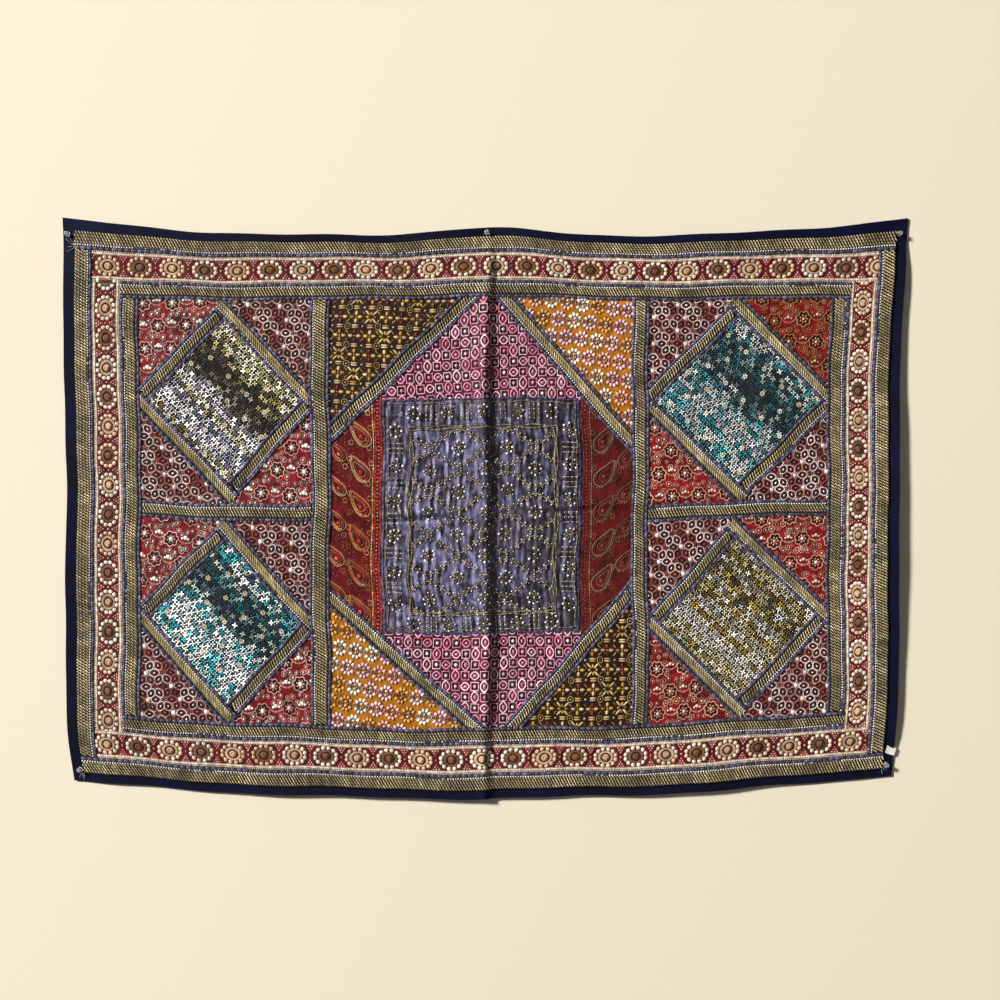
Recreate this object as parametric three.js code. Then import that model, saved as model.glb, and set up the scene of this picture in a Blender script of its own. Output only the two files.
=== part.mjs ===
// A patchwork wall hanging: embroidered patches, gold braids and a brocade border sewn to a cotton
// backing, held on the wall by five push pins. Millimetres, +Z up. The wall is the plane Y = 0, the
// front faces -Y, and the origin is the middle of the backing's rear face.
//
// Every cloth piece is drawn flat, in (u, v) on the cutting table, and hang() carries it to where
// the cloth hangs: the top edge sags between the three top pins and the sides draw in lower down.
import * as THREE from "three";

// Cut size of the whole cloth, 60 x 40 inches
const WIDTH = 1524;
const HEIGHT = 1016;
const HALF_WIDTH = WIDTH / 2;
const HALF_HEIGHT = HEIGHT / 2;

// Widths of the strips, from each edge inwards; the handmade right side differs a little
const LEFT = { navy: 20, outerBraid: 32, brocade: 50, innerBraid: 35, patch: 305, divider: 38 };
const RIGHT = { navy: 20, outerBraid: 31, brocade: 47, innerBraid: 36, patch: 328, divider: 33 };
const TOP = { navy: 16, outerBraid: 30, brocade: 50, innerBraid: 32 };
const MID_DIVIDER = 32; // height of the braid between the upper and lower squares
const MID_LEVEL = -3; // its middle, a little under the middle of the cloth

// Braids set on the slant
const SLANT_BRAID = 30;
const DIAMONDS = {
  left_upper: { halfWidth: 135, halfHeight: 145 },
  left_lower: { halfWidth: 134, halfHeight: 145 },
  right_upper: { halfWidth: 152, halfHeight: 149 },
  right_lower: { halfWidth: 141, halfHeight: 142 },
};

// The centre: a sewn panel inside an octagon, whose slants run from a divider to the inner braid
const PANEL = { left: -188, right: 173, bottom: -212, top: 201 };
const SLANTS = {
  upper_left: { onDivider: 141, onBraid: -29 },
  upper_right: { onDivider: 125, onBraid: 33 },
  lower_left: { onDivider: -152, onBraid: -22 },
  lower_right: { onDivider: -143, onBraid: 47 },
};

// Layers, counted forwards from the wall
const GAP = 0.3; // between pieces that touch
const BACKING_THICKNESS = 1.2;
const PATCH_THICKNESS = 1.5;
const BRAID_THICKNESS = 2.5;
const LABEL_THICKNESS = 0.4;
const LAYER_TWO = BACKING_THICKNESS + GAP;

// Push pins: where each goes through the cloth, and the pin itself
const PINS = {
  top_left: [-753, 486],
  top_centre: [0, 499],
  top_right: [748, 487],
  bottom_left: [-748, -487],
  bottom_right: [748, -487],
};
const PIN_HOLE_RADIUS = 0.85;
const NEEDLE_RADIUS = 0.55;
const NEEDLE_IN_WALL = 8.5;
const NEEDLE_POINT = 1.6;
const NEEDLE_IN_HANDLE = 6;
const FLANGE_RADIUS = 4.75;
const WAIST_RADIUS = 2.7;
const GRIP_RADIUS = 4.2;
const HANDLE_LENGTH = 12;
const PIN_SEGMENTS = 16;

// The blank label, tucked out past the right edge
const LABEL = { u: 755.5, v: -461, width: 17, height: 14, turn: -0.3 };

const CUT_STEP = 40; // edges are divided on this grid, so that neighbouring edges bend together

const COLOURS = {
  navy: 0x0b1440,
  gold: 0x8a7b48,
  brocade: 0x7c2a26,
  white_beads: 0xb9b7a6,
  teal_beads: 0x6fa0a6,
  gold_beads: 0xa09460,
  red_floral: 0x86141a,
  ring_lattice: 0x7d5358,
  brown_gold: 0x3c2412,
  orange: 0xc98420,
  pink: 0x93395a,
  paisley: 0x7d0d10,
  panel: 0x6f7392,
  label: 0xf4f1e8,
  clear_plastic: 0xe9eef0,
  steel: 0xb6b8bb,
};

const hanging = new THREE.Group();
const point = (x, y) => new THREE.Vector2(x, y);

// --- How the cloth hangs ---------------------------------------------------------------------

// Half-width of the hung cloth at height v: wide at the top, drawn in towards the bottom
function hungHalfWidth(u, v) {
  const above = Math.max(0, v / HALF_HEIGHT);
  const below = Math.max(0, -v / HALF_HEIGHT);
  if (u < 0) {
    const waist = 4 * Math.exp(-((v / 76) ** 2));
    return 764 + 6 * above ** 2 - 16 * below ** 6 - waist;
  }
  return 745 + 19 * above ** 2.5 - 11 * below ** 6;
}

// How far the cloth at (u, v) hangs above or below where it would lie on a table
function hungRise(u, v) {
  const across = Math.min(1, Math.abs(u) / HALF_WIDTH);
  const fromTop = HALF_HEIGHT - v;
  const sag = -13.5 * Math.exp(-fromTop / 100);
  const centrePin = 14 * Math.exp(-((across / 0.165) ** 2)) * Math.exp(-fromTop / 180);
  const cornerPins = 32 * Math.max(0, (across - 0.42) / 0.58) ** 1.8 * Math.exp(-fromTop / 64);
  const lowerShare = 0.5 - 0.5 * Math.sin((Math.PI / 2) * THREE.MathUtils.clamp(v / 400, -1, 1));
  const lowerSag = -17 + 36 * across ** 2 + 4.5 * (u / HALF_WIDTH);
  return sag + centrePin + cornerPins + lowerShare * lowerSag;
}

function hang(flat) {
  const spread = hungHalfWidth(flat.x, flat.y) / HALF_WIDTH;
  return point(flat.x * spread, flat.y + hungRise(flat.x, flat.y));
}

// --- Flat outlines, all convex and anticlockwise -----------------------------------------------

function rectangle(left, right, bottom, top) {
  return [point(left, bottom), point(right, bottom), point(right, top), point(left, top)];
}

// Which side of the line from a to b a point is on: positive to its left
function sideOf(line, p) {
  const [a, b] = line;
  return (b.x - a.x) * (p.y - a.y) - (b.y - a.y) * (p.x - a.x);
}

// The part of an outline that lies to the left of a line
function cut(outline, line) {
  const kept = [];
  outline.forEach((p, i) => {
    const q = outline[(i + 1) % outline.length];
    const [sp, sq] = [sideOf(line, p), sideOf(line, q)];
    if (sp >= 0) kept.push(p);
    if (sp * sq < 0) kept.push(p.clone().lerp(q, sp / (sp - sq)));
  });
  return kept;
}

const cutAll = (outline, lines) => lines.reduce(cut, outline);
const reversed = ([a, b]) => [b, a];

// A line moved to its own left by a distance
function moved([a, b], distance) {
  const along = b.clone().sub(a).normalize();
  const left = point(-along.y, along.x).multiplyScalar(distance);
  return [a.clone().add(left), b.clone().add(left)];
}

// An outline shrunk on every side, or grown where the distance is negative
function shrunk(outline, distance) {
  const edges = outline.map((p, i) => moved([p, outline[(i + 1) % outline.length]], distance));
  return edges.map((edge, i) => meeting(edges[(i + edges.length - 1) % edges.length], edge));
}

function meeting(first, second) {
  const [start, end] = [sideOf(second, first[0]), sideOf(second, first[1])];
  return first[0].clone().lerp(first[1], start / (start - end));
}

// Points along an outline: its corners, and each place where an edge crosses the cutting grid
function divided(outline) {
  return outline.flatMap((p, i) => {
    const q = outline[(i + 1) % outline.length];
    const axis = Math.abs(q.x - p.x) >= Math.abs(q.y - p.y) - 1e-6 ? "x" : "y";
    const [from, to] = [p[axis] / CUT_STEP, q[axis] / CUT_STEP];
    const crossings = [];
    for (let k = Math.ceil(Math.min(from, to) + 0.1); k < Math.max(from, to) - 0.1; k += 1) {
      crossings.push(p.clone().lerp(q, (k - from) / (to - from)));
    }
    if (to < from) crossings.reverse();
    return [p, ...crossings];
  });
}

// --- Making the pieces -------------------------------------------------------------------------

function material(colour, roughness = 0.85, metalness = 0) {
  return new THREE.MeshStandardMaterial({ color: COLOURS[colour], roughness, metalness });
}

// A flat piece of cloth whose rear face is layer in front of the wall
function addCloth(name, outline, colour, layer, thickness, holes = []) {
  const shape = new THREE.Shape(outline);
  shape.holes = holes.map((hole) => new THREE.Path(hole));
  const geometry = new THREE.ExtrudeGeometry(shape, { depth: thickness, bevelEnabled: false });
  const mesh = new THREE.Mesh(geometry, material(colour));
  mesh.name = name;
  mesh.rotation.x = Math.PI / 2;
  mesh.position.y = -layer;
  hanging.add(mesh);
}

const hung = (outline, gap) => divided(shrunk(outline, gap)).map(hang);

function addPatch(name, outline, colour) {
  addCloth(name, hung(outline, GAP / 2), colour, LAYER_TWO, PATCH_THICKNESS);
}

function addBraid(name, outline, opening = null) {
  const holes = opening ? [hung(opening, -GAP / 2)] : [];
  addCloth(name, hung(outline, GAP / 2), "gold", LAYER_TWO, BRAID_THICKNESS, holes);
}

// Seam positions, from the strip widths
const seams = (widths, names) => names.reduce((sum, name) => sum + widths[name], 0);
const RING_ORDER = ["navy", "outerBraid", "brocade", "innerBraid"];

function ringEdge(count) {
  const names = RING_ORDER.slice(0, count);
  return {
    left: -HALF_WIDTH + seams(LEFT, names),
    right: HALF_WIDTH - seams(RIGHT, names),
    bottom: -HALF_HEIGHT + seams(TOP, names),
    top: HALF_HEIGHT - seams(TOP, names),
  };
}

const boxOf = ({ left, right, bottom, top }) => rectangle(left, right, bottom, top);
const INNER = ringEdge(4);
const CENTRE = {
  left: INNER.left + LEFT.patch + LEFT.divider,
  right: INNER.right - RIGHT.patch - RIGHT.divider,
  bottom: INNER.bottom,
  top: INNER.top,
};

function addBacking() {
  const pinHoles = Object.values(PINS).map(([u, v]) => {
    const hole = new THREE.Path();
    const centre = hang(point(u, v));
    hole.absarc(centre.x, centre.y, PIN_HOLE_RADIUS, 0, 2 * Math.PI);
    return hole.getSpacedPoints(12).slice(0, -1);
  });
  const outline = rectangle(-HALF_WIDTH, HALF_WIDTH, -HALF_HEIGHT, HALF_HEIGHT);
  addCloth("backing", hung(outline, 0), "navy", 0, BACKING_THICKNESS, pinHoles);
}

function addBorders() {
  const [braidOuter, brocadeOuter, brocadeInner] = [ringEdge(1), ringEdge(2), ringEdge(3)];
  addBraid("braid_outer", boxOf(braidOuter), boxOf(brocadeOuter));
  addBraid("braid_inner", boxOf(brocadeInner), boxOf(INNER));
  const { left, right, bottom, top } = brocadeOuter;
  const inner = brocadeInner;
  addPatch("brocade_top", rectangle(left, right, inner.top, top), "brocade");
  addPatch("brocade_bottom", rectangle(left, right, bottom, inner.bottom), "brocade");
  addPatch("brocade_left", rectangle(left, inner.left, inner.bottom, inner.top), "brocade");
  addPatch("brocade_right", rectangle(inner.right, right, inner.bottom, inner.top), "brocade");
}

function addDividers() {
  const leftPatchEnd = INNER.left + LEFT.patch;
  const rightPatchEnd = INNER.right - RIGHT.patch;
  const [low, high] = [MID_LEVEL - MID_DIVIDER / 2, MID_LEVEL + MID_DIVIDER / 2];
  addBraid("divider_left", rectangle(leftPatchEnd, CENTRE.left, INNER.bottom, INNER.top));
  addBraid("divider_right", rectangle(CENTRE.right, rightPatchEnd, INNER.bottom, INNER.top));
  addBraid("divider_left_middle", rectangle(INNER.left, leftPatchEnd, low, high));
  addBraid("divider_right_middle", rectangle(rightPatchEnd, INNER.right, low, high));
}

// One square: a diamond patch, the braid around it and a patch in each corner
function addSquare(name, area, colours) {
  const { halfWidth, halfHeight } = DIAMONDS[name];
  const middle = point((area.left + area.right) / 2, (area.bottom + area.top) / 2);
  const diamond = [
    point(middle.x + halfWidth, middle.y),
    point(middle.x, middle.y + halfHeight),
    point(middle.x - halfWidth, middle.y),
    point(middle.x, middle.y - halfHeight),
  ];
  const outer = shrunk(diamond, -SLANT_BRAID);
  const outerEdges = outer.map((p, i) => [p, outer[(i + 1) % outer.length]]);
  addPatch(`${name}_diamond`, diamond, colours.diamond);
  addBraid(`${name}_diamond_braid`, cutAll(boxOf(area), outerEdges), diamond);
  ["upper_right", "upper_left", "lower_left", "lower_right"].forEach((corner, i) => {
    addPatch(`${name}_${corner}`, cut(boxOf(area), reversed(outerEdges[i])), colours[corner]);
  });
}

function addSquares() {
  const [low, high] = [MID_LEVEL - MID_DIVIDER / 2, MID_LEVEL + MID_DIVIDER / 2];
  const columns = {
    left: { left: INNER.left, right: INNER.left + LEFT.patch },
    right: { left: INNER.right - RIGHT.patch, right: INNER.right },
  };
  const rows = { upper: { bottom: high, top: INNER.top }, lower: { bottom: INNER.bottom, top: low } };
  const floral = { upper_left: "red_floral", lower_right: "red_floral" };
  const lattice = { upper_left: "ring_lattice", lower_right: "ring_lattice" };
  const leftCorners = { ...floral, upper_right: "ring_lattice", lower_left: "ring_lattice" };
  const rightCorners = { ...lattice, upper_right: "red_floral", lower_left: "red_floral" };
  const beads = {
    left_upper: "white_beads",
    left_lower: "teal_beads",
    right_upper: "teal_beads",
    right_lower: "gold_beads",
  };
  for (const [column, across] of Object.entries(columns)) {
    for (const [row, up] of Object.entries(rows)) {
      const name = `${column}_${row}`;
      const corners = column === "left" ? leftCorners : rightCorners;
      addSquare(name, { ...across, ...up }, { ...corners, diamond: beads[name] });
    }
  }
}

// The middle line of a slanted braid, with the middle of the cloth on its left
function slantLine(corner) {
  const [row, column] = corner.split("_");
  const { onDivider, onBraid } = SLANTS[corner];
  const atDivider = point(CENTRE[column], onDivider);
  const atBraid = point(onBraid, row === "upper" ? CENTRE.top : CENTRE.bottom);
  const line = [atDivider, atBraid];
  return sideOf(line, point(0, 0)) > 0 ? line : reversed(line);
}

function addCentre() {
  const area = boxOf(CENTRE);
  const innerEdges = [];
  const cornerColours = {
    upper_left: "brown_gold",
    upper_right: "orange",
    lower_left: "orange",
    lower_right: "brown_gold",
  };
  for (const [corner, colour] of Object.entries(cornerColours)) {
    const middle = slantLine(corner);
    const innerEdge = moved(middle, SLANT_BRAID / 2);
    const outerEdge = reversed(moved(middle, -SLANT_BRAID / 2));
    innerEdges.push(innerEdge);
    addPatch(`centre_${corner}`, cut(area, outerEdge), colour);
    addBraid(`centre_${corner}_braid`, cutAll(area, [reversed(outerEdge), reversed(innerEdge)]));
  }
  const octagon = cutAll(area, innerEdges);
  const leftSide = [point(PANEL.left, 0), point(PANEL.left, 1)];
  const rightSide = [point(PANEL.right, 1), point(PANEL.right, 0)];
  const topSide = [point(0, PANEL.top), point(1, PANEL.top)];
  const bottomSide = [point(1, PANEL.bottom), point(0, PANEL.bottom)];
  const betweenSides = cutAll(octagon, [reversed(leftSide), reversed(rightSide)]);
  addPatch("centre_panel", boxOf(PANEL), "panel");
  addPatch("centre_paisley_left", cut(octagon, leftSide), "paisley");
  addPatch("centre_paisley_right", cut(octagon, rightSide), "paisley");
  addPatch("centre_pink_upper", cut(betweenSides, topSide), "pink");
  addPatch("centre_pink_lower", cut(betweenSides, bottomSide), "pink");
}

function addLabel() {
  const { u, v, width, height, turn } = LABEL;
  const centre = hang(point(u, v));
  const corners = rectangle(-width / 2, width / 2, -height / 2, height / 2);
  const outline = corners.map((p) => p.rotateAround(point(0, 0), turn).add(centre));
  addCloth("label", outline, "label", LAYER_TWO, LABEL_THICKNESS);
}

// A turned piece about the pin's axis, from a profile of [radius, distance in front of the wall]
function addTurned(name, profile, at, finish) {
  const geometry = new THREE.LatheGeometry(
    profile.map(([radius, forward]) => point(radius, -forward)),
    PIN_SEGMENTS,
  );
  const mesh = new THREE.Mesh(geometry, finish);
  mesh.name = name;
  mesh.position.set(at.x, 0, at.y);
  hanging.add(mesh);
}

function addPin(name, [u, v]) {
  const at = hang(point(u, v));
  const back = LAYER_TWO;
  const boreEnd = back + NEEDLE_IN_HANDLE + GAP;
  const front = back + HANDLE_LENGTH;
  const handle = [
    [0, front],
    [GRIP_RADIUS - 0.8, front],
    [GRIP_RADIUS, front - 0.6],
    [GRIP_RADIUS, front - 1.8],
    [WAIST_RADIUS, front - 3.6],
    [WAIST_RADIUS, back + 3.2],
    [FLANGE_RADIUS, back + 1.6],
    [FLANGE_RADIUS, back],
    [PIN_HOLE_RADIUS, back],
    [PIN_HOLE_RADIUS, boreEnd],
    [0, boreEnd],
  ];
  const needle = [
    [0, back + NEEDLE_IN_HANDLE],
    [NEEDLE_RADIUS, back + NEEDLE_IN_HANDLE],
    [NEEDLE_RADIUS, NEEDLE_POINT - NEEDLE_IN_WALL],
    [0, -NEEDLE_IN_WALL],
  ];
  addTurned(`pin_${name}_handle`, handle, at, material("clear_plastic", 0.15));
  addTurned(`pin_${name}_needle`, needle, at, material("steel", 0.25, 1));
}

addBacking();
addBorders();
addDividers();
addSquares();
addCentre();
addLabel();
for (const [name, place] of Object.entries(PINS)) addPin(name, place);

export default hanging;
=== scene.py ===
import math

import bmesh
import bpy
import numpy as np
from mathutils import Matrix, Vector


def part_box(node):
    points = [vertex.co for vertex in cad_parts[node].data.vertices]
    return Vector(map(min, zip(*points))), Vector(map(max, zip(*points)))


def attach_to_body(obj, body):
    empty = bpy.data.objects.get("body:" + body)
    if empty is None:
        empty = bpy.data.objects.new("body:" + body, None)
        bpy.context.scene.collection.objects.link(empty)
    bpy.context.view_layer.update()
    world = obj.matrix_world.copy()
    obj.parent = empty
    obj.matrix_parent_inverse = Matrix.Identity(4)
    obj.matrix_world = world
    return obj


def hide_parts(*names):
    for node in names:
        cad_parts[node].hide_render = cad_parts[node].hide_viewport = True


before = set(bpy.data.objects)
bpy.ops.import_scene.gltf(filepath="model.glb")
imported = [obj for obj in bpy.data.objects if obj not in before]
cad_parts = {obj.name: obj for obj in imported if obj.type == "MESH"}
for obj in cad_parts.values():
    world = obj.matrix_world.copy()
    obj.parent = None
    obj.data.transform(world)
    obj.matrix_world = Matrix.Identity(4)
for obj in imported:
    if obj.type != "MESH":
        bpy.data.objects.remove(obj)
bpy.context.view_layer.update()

# Cut size of the whole cloth and the widths of its strips, from each edge inwards
HALF_WIDTH, HALF_HEIGHT = 762.0, 508.0
LEFT = {"navy": 20, "outer": 32, "brocade": 50, "inner": 35, "patch": 305, "divider": 38}
RIGHT = {"navy": 20, "outer": 31, "brocade": 47, "inner": 36, "patch": 328, "divider": 33}
LEVEL = {"navy": 16, "outer": 30, "brocade": 50, "inner": 32}
MID_LOW, MID_HIGH = -19.0, 13.0
SLANT_BRAID = 30.0
DIAMONDS = {
    "left_upper": (135, 145),
    "left_lower": (134, 145),
    "right_upper": (152, 149),
    "right_lower": (141, 142),
}
PANEL = (-188.0, 173.0, -212.0, 201.0)  # left, right, bottom, top
SLANTS = {  # where each slanted braid's middle meets the divider and the inner braid
    "upper_left": (141, -29),
    "upper_right": (125, 33),
    "lower_left": (-152, -22),
    "lower_right": (-143, 47),
}
PINS = {
    "top_left": (-753, 486),
    "top_centre": (0, 499),
    "top_right": (748, 487),
    "bottom_left": (-748, -487),
    "bottom_right": (748, -487),
}
LABEL = {"u": 755.5, "v": -461, "width": 17, "height": 14, "turn": -0.3}

# Heights in front of the backing's rear
BACKING_FRONT = 1.2
PATCH_FRONT = 2.3
PATCH_THICKNESS = 0.8
TAPE_FRONT = 3.0
STITCH_BASE = 2.15
SEAM_ALLOWANCE = 2.0
PUCKERS = 2.2  # the depth of the small puckers
PANEL_PUCKERS = 5.0
BASE_SHADE = 0.1  # painted shade: how dark a raised stitch is painted where it meets the cloth


# --- How the cloth hangs ---

def hang(u, v):
    """Where the cloth at (u, v) hangs: across and up, in millimetres"""
    above = np.maximum(0, v / HALF_HEIGHT)
    below = np.maximum(0, -v / HALF_HEIGHT)
    left = 764 + 6 * above**2 - 16 * below**6 - 4 * np.exp(-((v / 76) ** 2))
    right = 745 + 19 * above**2.5 - 11 * below**6
    across = np.minimum(1, np.abs(u) / HALF_WIDTH)
    from_top = HALF_HEIGHT - v
    sag = -13.5 * np.exp(-from_top / 100)
    centre_pin = 14 * np.exp(-((across / 0.165) ** 2)) * np.exp(-from_top / 180)
    corner_pins = 32 * np.maximum(0, (across - 0.42) / 0.58) ** 1.8 * np.exp(-from_top / 64)
    lower_share = 0.5 - 0.5 * np.sin(math.pi / 2 * np.clip(v / 400, -1, 1))
    lower_sag = -17 + 36 * across**2 + 4.5 * u / HALF_WIDTH
    rise = sag + centre_pin + corner_pins + lower_share * lower_sag
    free = 1 - 0.6 * across**8
    sideways = 2.0 * np.sin(v / 57 + 0.9 * np.sin(u / 83)) + 0.9 * np.sin(v / 21 + u / 57)
    upwards = 1.7 * np.sin(u / 63 + 0.8 * np.sin(v / 71)) + 0.8 * np.sin(u / 26 + v / 41)
    spread = np.where(u < 0, left, right) / HALF_WIDTH
    return u * spread + sideways * free, v + rise + upwards * free


def relief(u, v):
    """How far the cloth at (u, v) stands off the wall, in millimetres; the pins hold it down"""
    near_fold = np.exp(-((u / 70) ** 2))
    billow = 3.4 + 1.5 * np.sin(u / 95 + 0.6 * np.sin(v / 130)) * np.cos(v / 160 + 0.8)
    billow += 1.1 * np.sin(u / 61 - v / 83 + 1.3) + 0.6 * np.sin(v / 47 + u / 70)
    billow = billow * (1 - 0.9 * near_fold)
    past = u + 3 + 2.5 * np.sin(v / 90)
    left_flank = np.exp(-np.abs(np.minimum(past, 0)) / 42)
    right_flank = 0.92 * np.exp(-((np.maximum(past, 0) / 10.5) ** 2))
    right_flank += 0.08 * np.exp(-np.maximum(past, 0) / 45)
    height = 16.5 - 7 * np.clip((np.abs(v) - 250) / 250, 0, 1)
    fold = height * np.where(past < 0, left_flank, right_flank)
    level = v - 3 - 0.045 * u
    crease = np.where(level > 0, np.exp(-np.abs(level) / 24), np.exp(-np.abs(level) / 8))
    crease -= 0.5 * np.exp(-(((level + 8) / 5) ** 2))
    crease *= (3.8 + 3.8 * np.exp(-((u / 178) ** 8))) * np.exp(-((u / 480) ** 4))
    fold += crease * (1 - near_fold)
    between = np.sqrt(np.clip(np.cos(v / 487 * math.pi / 2), 0, 1))
    edges = 10 * between * np.exp(-(HALF_WIDTH - u) / 55)
    edges += 3 * between * np.exp(-(HALF_WIDTH + u) / 40)
    swag = 3.5 * np.exp(-(HALF_HEIGHT - v) / 45) * np.abs(np.sin(u / 750 * math.pi))
    hem = 4.5 * np.exp(-(HALF_HEIGHT + v) / 60) * np.clip(np.cos(u / 750 * math.pi / 2), 0, 1)
    free = 1.0
    for pin_u, pin_v in PINS.values():
        free = free * (1 - np.exp(-((u - pin_u) ** 2 + (v - pin_v) ** 2) / 40**2))
    return (billow + fold + edges + swag + hem) * free


def ripple(u, v):
    """Small puckers, from 0 to 1, as seams and stitches draw the cloth in"""
    waves = np.sin(u / 3.1 + 1.4 * np.sin(v / 19) + 0.5) + np.sin(v / 3.7 + 1.7 * np.sin(u / 23))
    waves += 1.2 * np.sin((u + v) / 7.3 + 1.1 * np.sin((u - v) / 31))
    return 0.5 + waves / 6.4


def upright_puckers(u, v):
    """Crinkles that run up the satin panel, from 0 to 1"""
    waves = np.sin(u / 1.75 + 1.9 * np.sin(v / 24 + 0.4) + 0.8 * np.sin(v / 11))
    waves += 0.9 * np.sin(u / 2.9 - 1.5 * np.sin(v / 33 + 2.0)) + 0.6 * np.sin(v / 6.5 + u / 9)
    crinkles = (0.5 + waves / 5) * (1 - 0.7 * np.exp(-((u / 30) ** 2)))
    left, right, bottom, top = PANEL
    within = np.minimum(np.minimum(u - left, right - u), np.minimum(v - bottom, top - v))
    share = np.clip(within / 9, 0, 1)
    return share * crinkles + (1 - share) * ripple(u, v) * PUCKERS / PANEL_PUCKERS


def place(u, v, height, puckers=0.0, drawn=ripple):
    """Flat points, with their height in front of the backing's rear, as they hang, in metres"""
    across, up = hang(u, v)
    forward = relief(u, v) + height + puckers * (drawn(u, v) if puckers else 0.0)
    return np.stack([across, -forward, up], axis=-1) / 1000


# --- Flat outlines, all convex and anticlockwise ---

def rectangle(left, right, bottom, top):
    return np.array([(left, bottom), (right, bottom), (right, top), (left, top)], float)


def side_of(line, point):
    """Which side of the line a point is on: positive to its left"""
    (ax, ay), (bx, by) = line
    return (bx - ax) * (point[1] - ay) - (by - ay) * (point[0] - ax)


def cut(outline, line):
    """The part of an outline that lies to the left of a line"""
    kept = []
    for p, q in zip(outline, np.roll(outline, -1, axis=0)):
        side_p, side_q = side_of(line, p), side_of(line, q)
        if side_p >= 0:
            kept.append(p)
        if side_p * side_q < 0:
            kept.append(p + (q - p) * side_p / (side_p - side_q))
    return np.array(kept)


def cut_all(outline, lines):
    for line in lines:
        outline = cut(outline, line)
    return outline


def moved(line, distance):
    """A line moved to its own left"""
    a, b = np.array(line, float)
    along = (b - a) / np.linalg.norm(b - a)
    left = np.array([-along[1], along[0]]) * distance
    return np.array([a + left, b + left])


def meeting(first, second):
    start, end = side_of(second, first[0]), side_of(second, first[1])
    return first[0] + (first[1] - first[0]) * start / (start - end)


def edges_of(outline):
    return [np.array(edge) for edge in zip(outline, np.roll(outline, -1, axis=0))]


def shrunk(outline, distance):
    """An outline shrunk on every side, or grown where the distance is negative"""
    edges = [moved(edge, distance) for edge in edges_of(outline)]
    return np.array([meeting(edges[k - 1], edge) for k, edge in enumerate(edges)])


def depth_inside(points, outline):
    """How far each point is inside an outline, negative outside"""
    depth = np.full(len(points), 1e9)
    for a, b in edges_of(outline):
        along = (b - a) / np.linalg.norm(b - a)
        off = points - a
        depth = np.minimum(depth, along[0] * off[:, 1] - along[1] * off[:, 0])
    return depth


def ring_edge(names):
    """Left, right, bottom and top of the cloth inside the named strips"""
    left, right, level = (sum(widths[name] for name in names) for widths in (LEFT, RIGHT, LEVEL))
    return (-HALF_WIDTH + left, HALF_WIDTH - right, -HALF_HEIGHT + level, HALF_HEIGHT - level)


NAVY_EDGE = ring_edge(["navy"])
BROCADE_OUTER = ring_edge(["navy", "outer"])
BROCADE_INNER = ring_edge(["navy", "outer", "brocade"])
INNER = ring_edge(["navy", "outer", "brocade", "inner"])
LEFT_END = INNER[0] + LEFT["patch"]
RIGHT_END = INNER[1] - RIGHT["patch"]
CENTRE = (LEFT_END + LEFT["divider"], RIGHT_END - RIGHT["divider"], INNER[2], INNER[3])


# --- Colours ---

def linear(code):
    """A colour's six-figure code as linear light"""
    parts = np.array([int(code[k:k + 2], 16) for k in (0, 2, 4)]) / 255
    return np.where(parts <= 0.04045, parts / 12.92, ((parts + 0.055) / 1.055) ** 2.4)


def tones(codes):
    return np.array([linear(code) for code in codes.split()])


def pick(rng, choices, number, spread=0.15):
    """A colour for each of a number of stitches, each a little lighter or darker"""
    chosen = choices[rng.integers(0, len(choices), number)]
    return chosen * (1 + spread * rng.normal(size=(number, 1))).clip(0.4, 1.8)


# --- Shapes that repeat, each modelled once ---

class Shape:
    """A small raised shape: its corner points, in units of its own size, and its faces"""

    def __init__(self, points, faces):
        self.points = np.array(points, float)
        self.triangles = np.array([f for f in faces if len(f) == 3], int).reshape(-1, 3)
        self.quads = np.array([f for f in faces if len(f) == 4], int).reshape(-1, 4)


def modelled_half(add, **settings):
    """The upper half of a primitive, cut level through its middle in edit mode"""
    bpy.ops.object.select_all(action="DESELECT")
    add(**settings)
    bpy.ops.object.mode_set(mode="EDIT")
    bpy.ops.mesh.select_all(action="SELECT")
    bpy.ops.mesh.bisect(plane_co=(0, 0, 0), plane_no=(0, 0, 1), clear_inner=True)
    bpy.ops.object.mode_set(mode="OBJECT")
    made = bpy.context.object
    points = [tuple(made.matrix_world @ corner.co) for corner in made.data.vertices]
    faces = [tuple(face.vertices) for face in made.data.polygons]
    bpy.data.objects.remove(made)
    return Shape(points, faces)


def lengthways(shape, blunt=1.0):
    """A half sphere whose poles lie along y, turned to lie along x, with blunter ends"""
    x, y, z = shape.points.T
    shape.points = np.stack([np.sign(y) * np.abs(y) ** blunt, -x, z], axis=-1)
    return shape


def hoop(curve, thickness):
    """A raised outline along a closed curve of radius about 1, open in the middle"""
    curve = np.array(curve)
    along = np.roll(curve, -1, axis=0) - np.roll(curve, 1, axis=0)
    along /= np.linalg.norm(along, axis=1)[:, None]
    outwards = np.stack([along[:, 1], -along[:, 0]], axis=-1) * thickness / 2
    number = len(curve)
    rims = [(curve + outwards, 0.0), (curve, 1.0), (curve - outwards, 0.0)]
    points = [(x, y, height) for rim, height in rims for x, y in rim]
    faces = []
    for k in range(number):
        following = (k + 1) % number
        for rim in (0, 1):
            low, high = rim * number, (rim + 1) * number
            faces.append((low + k, low + following, high + following, high + k))
    return Shape(points, faces)


def round_curve(number, wobble=lambda angle: 1.0, pinch=0.0):
    """Points round a circle, whose radius may wobble and whose ends may be pinched to a lens"""
    angles = np.arange(number) / number * 2 * math.pi
    radius = np.array([wobble(angle) for angle in angles])
    up = np.sin(angles) * np.abs(np.sin(angles)) ** pinch
    return np.stack([radius * np.cos(angles), radius * up], axis=-1)


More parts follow.
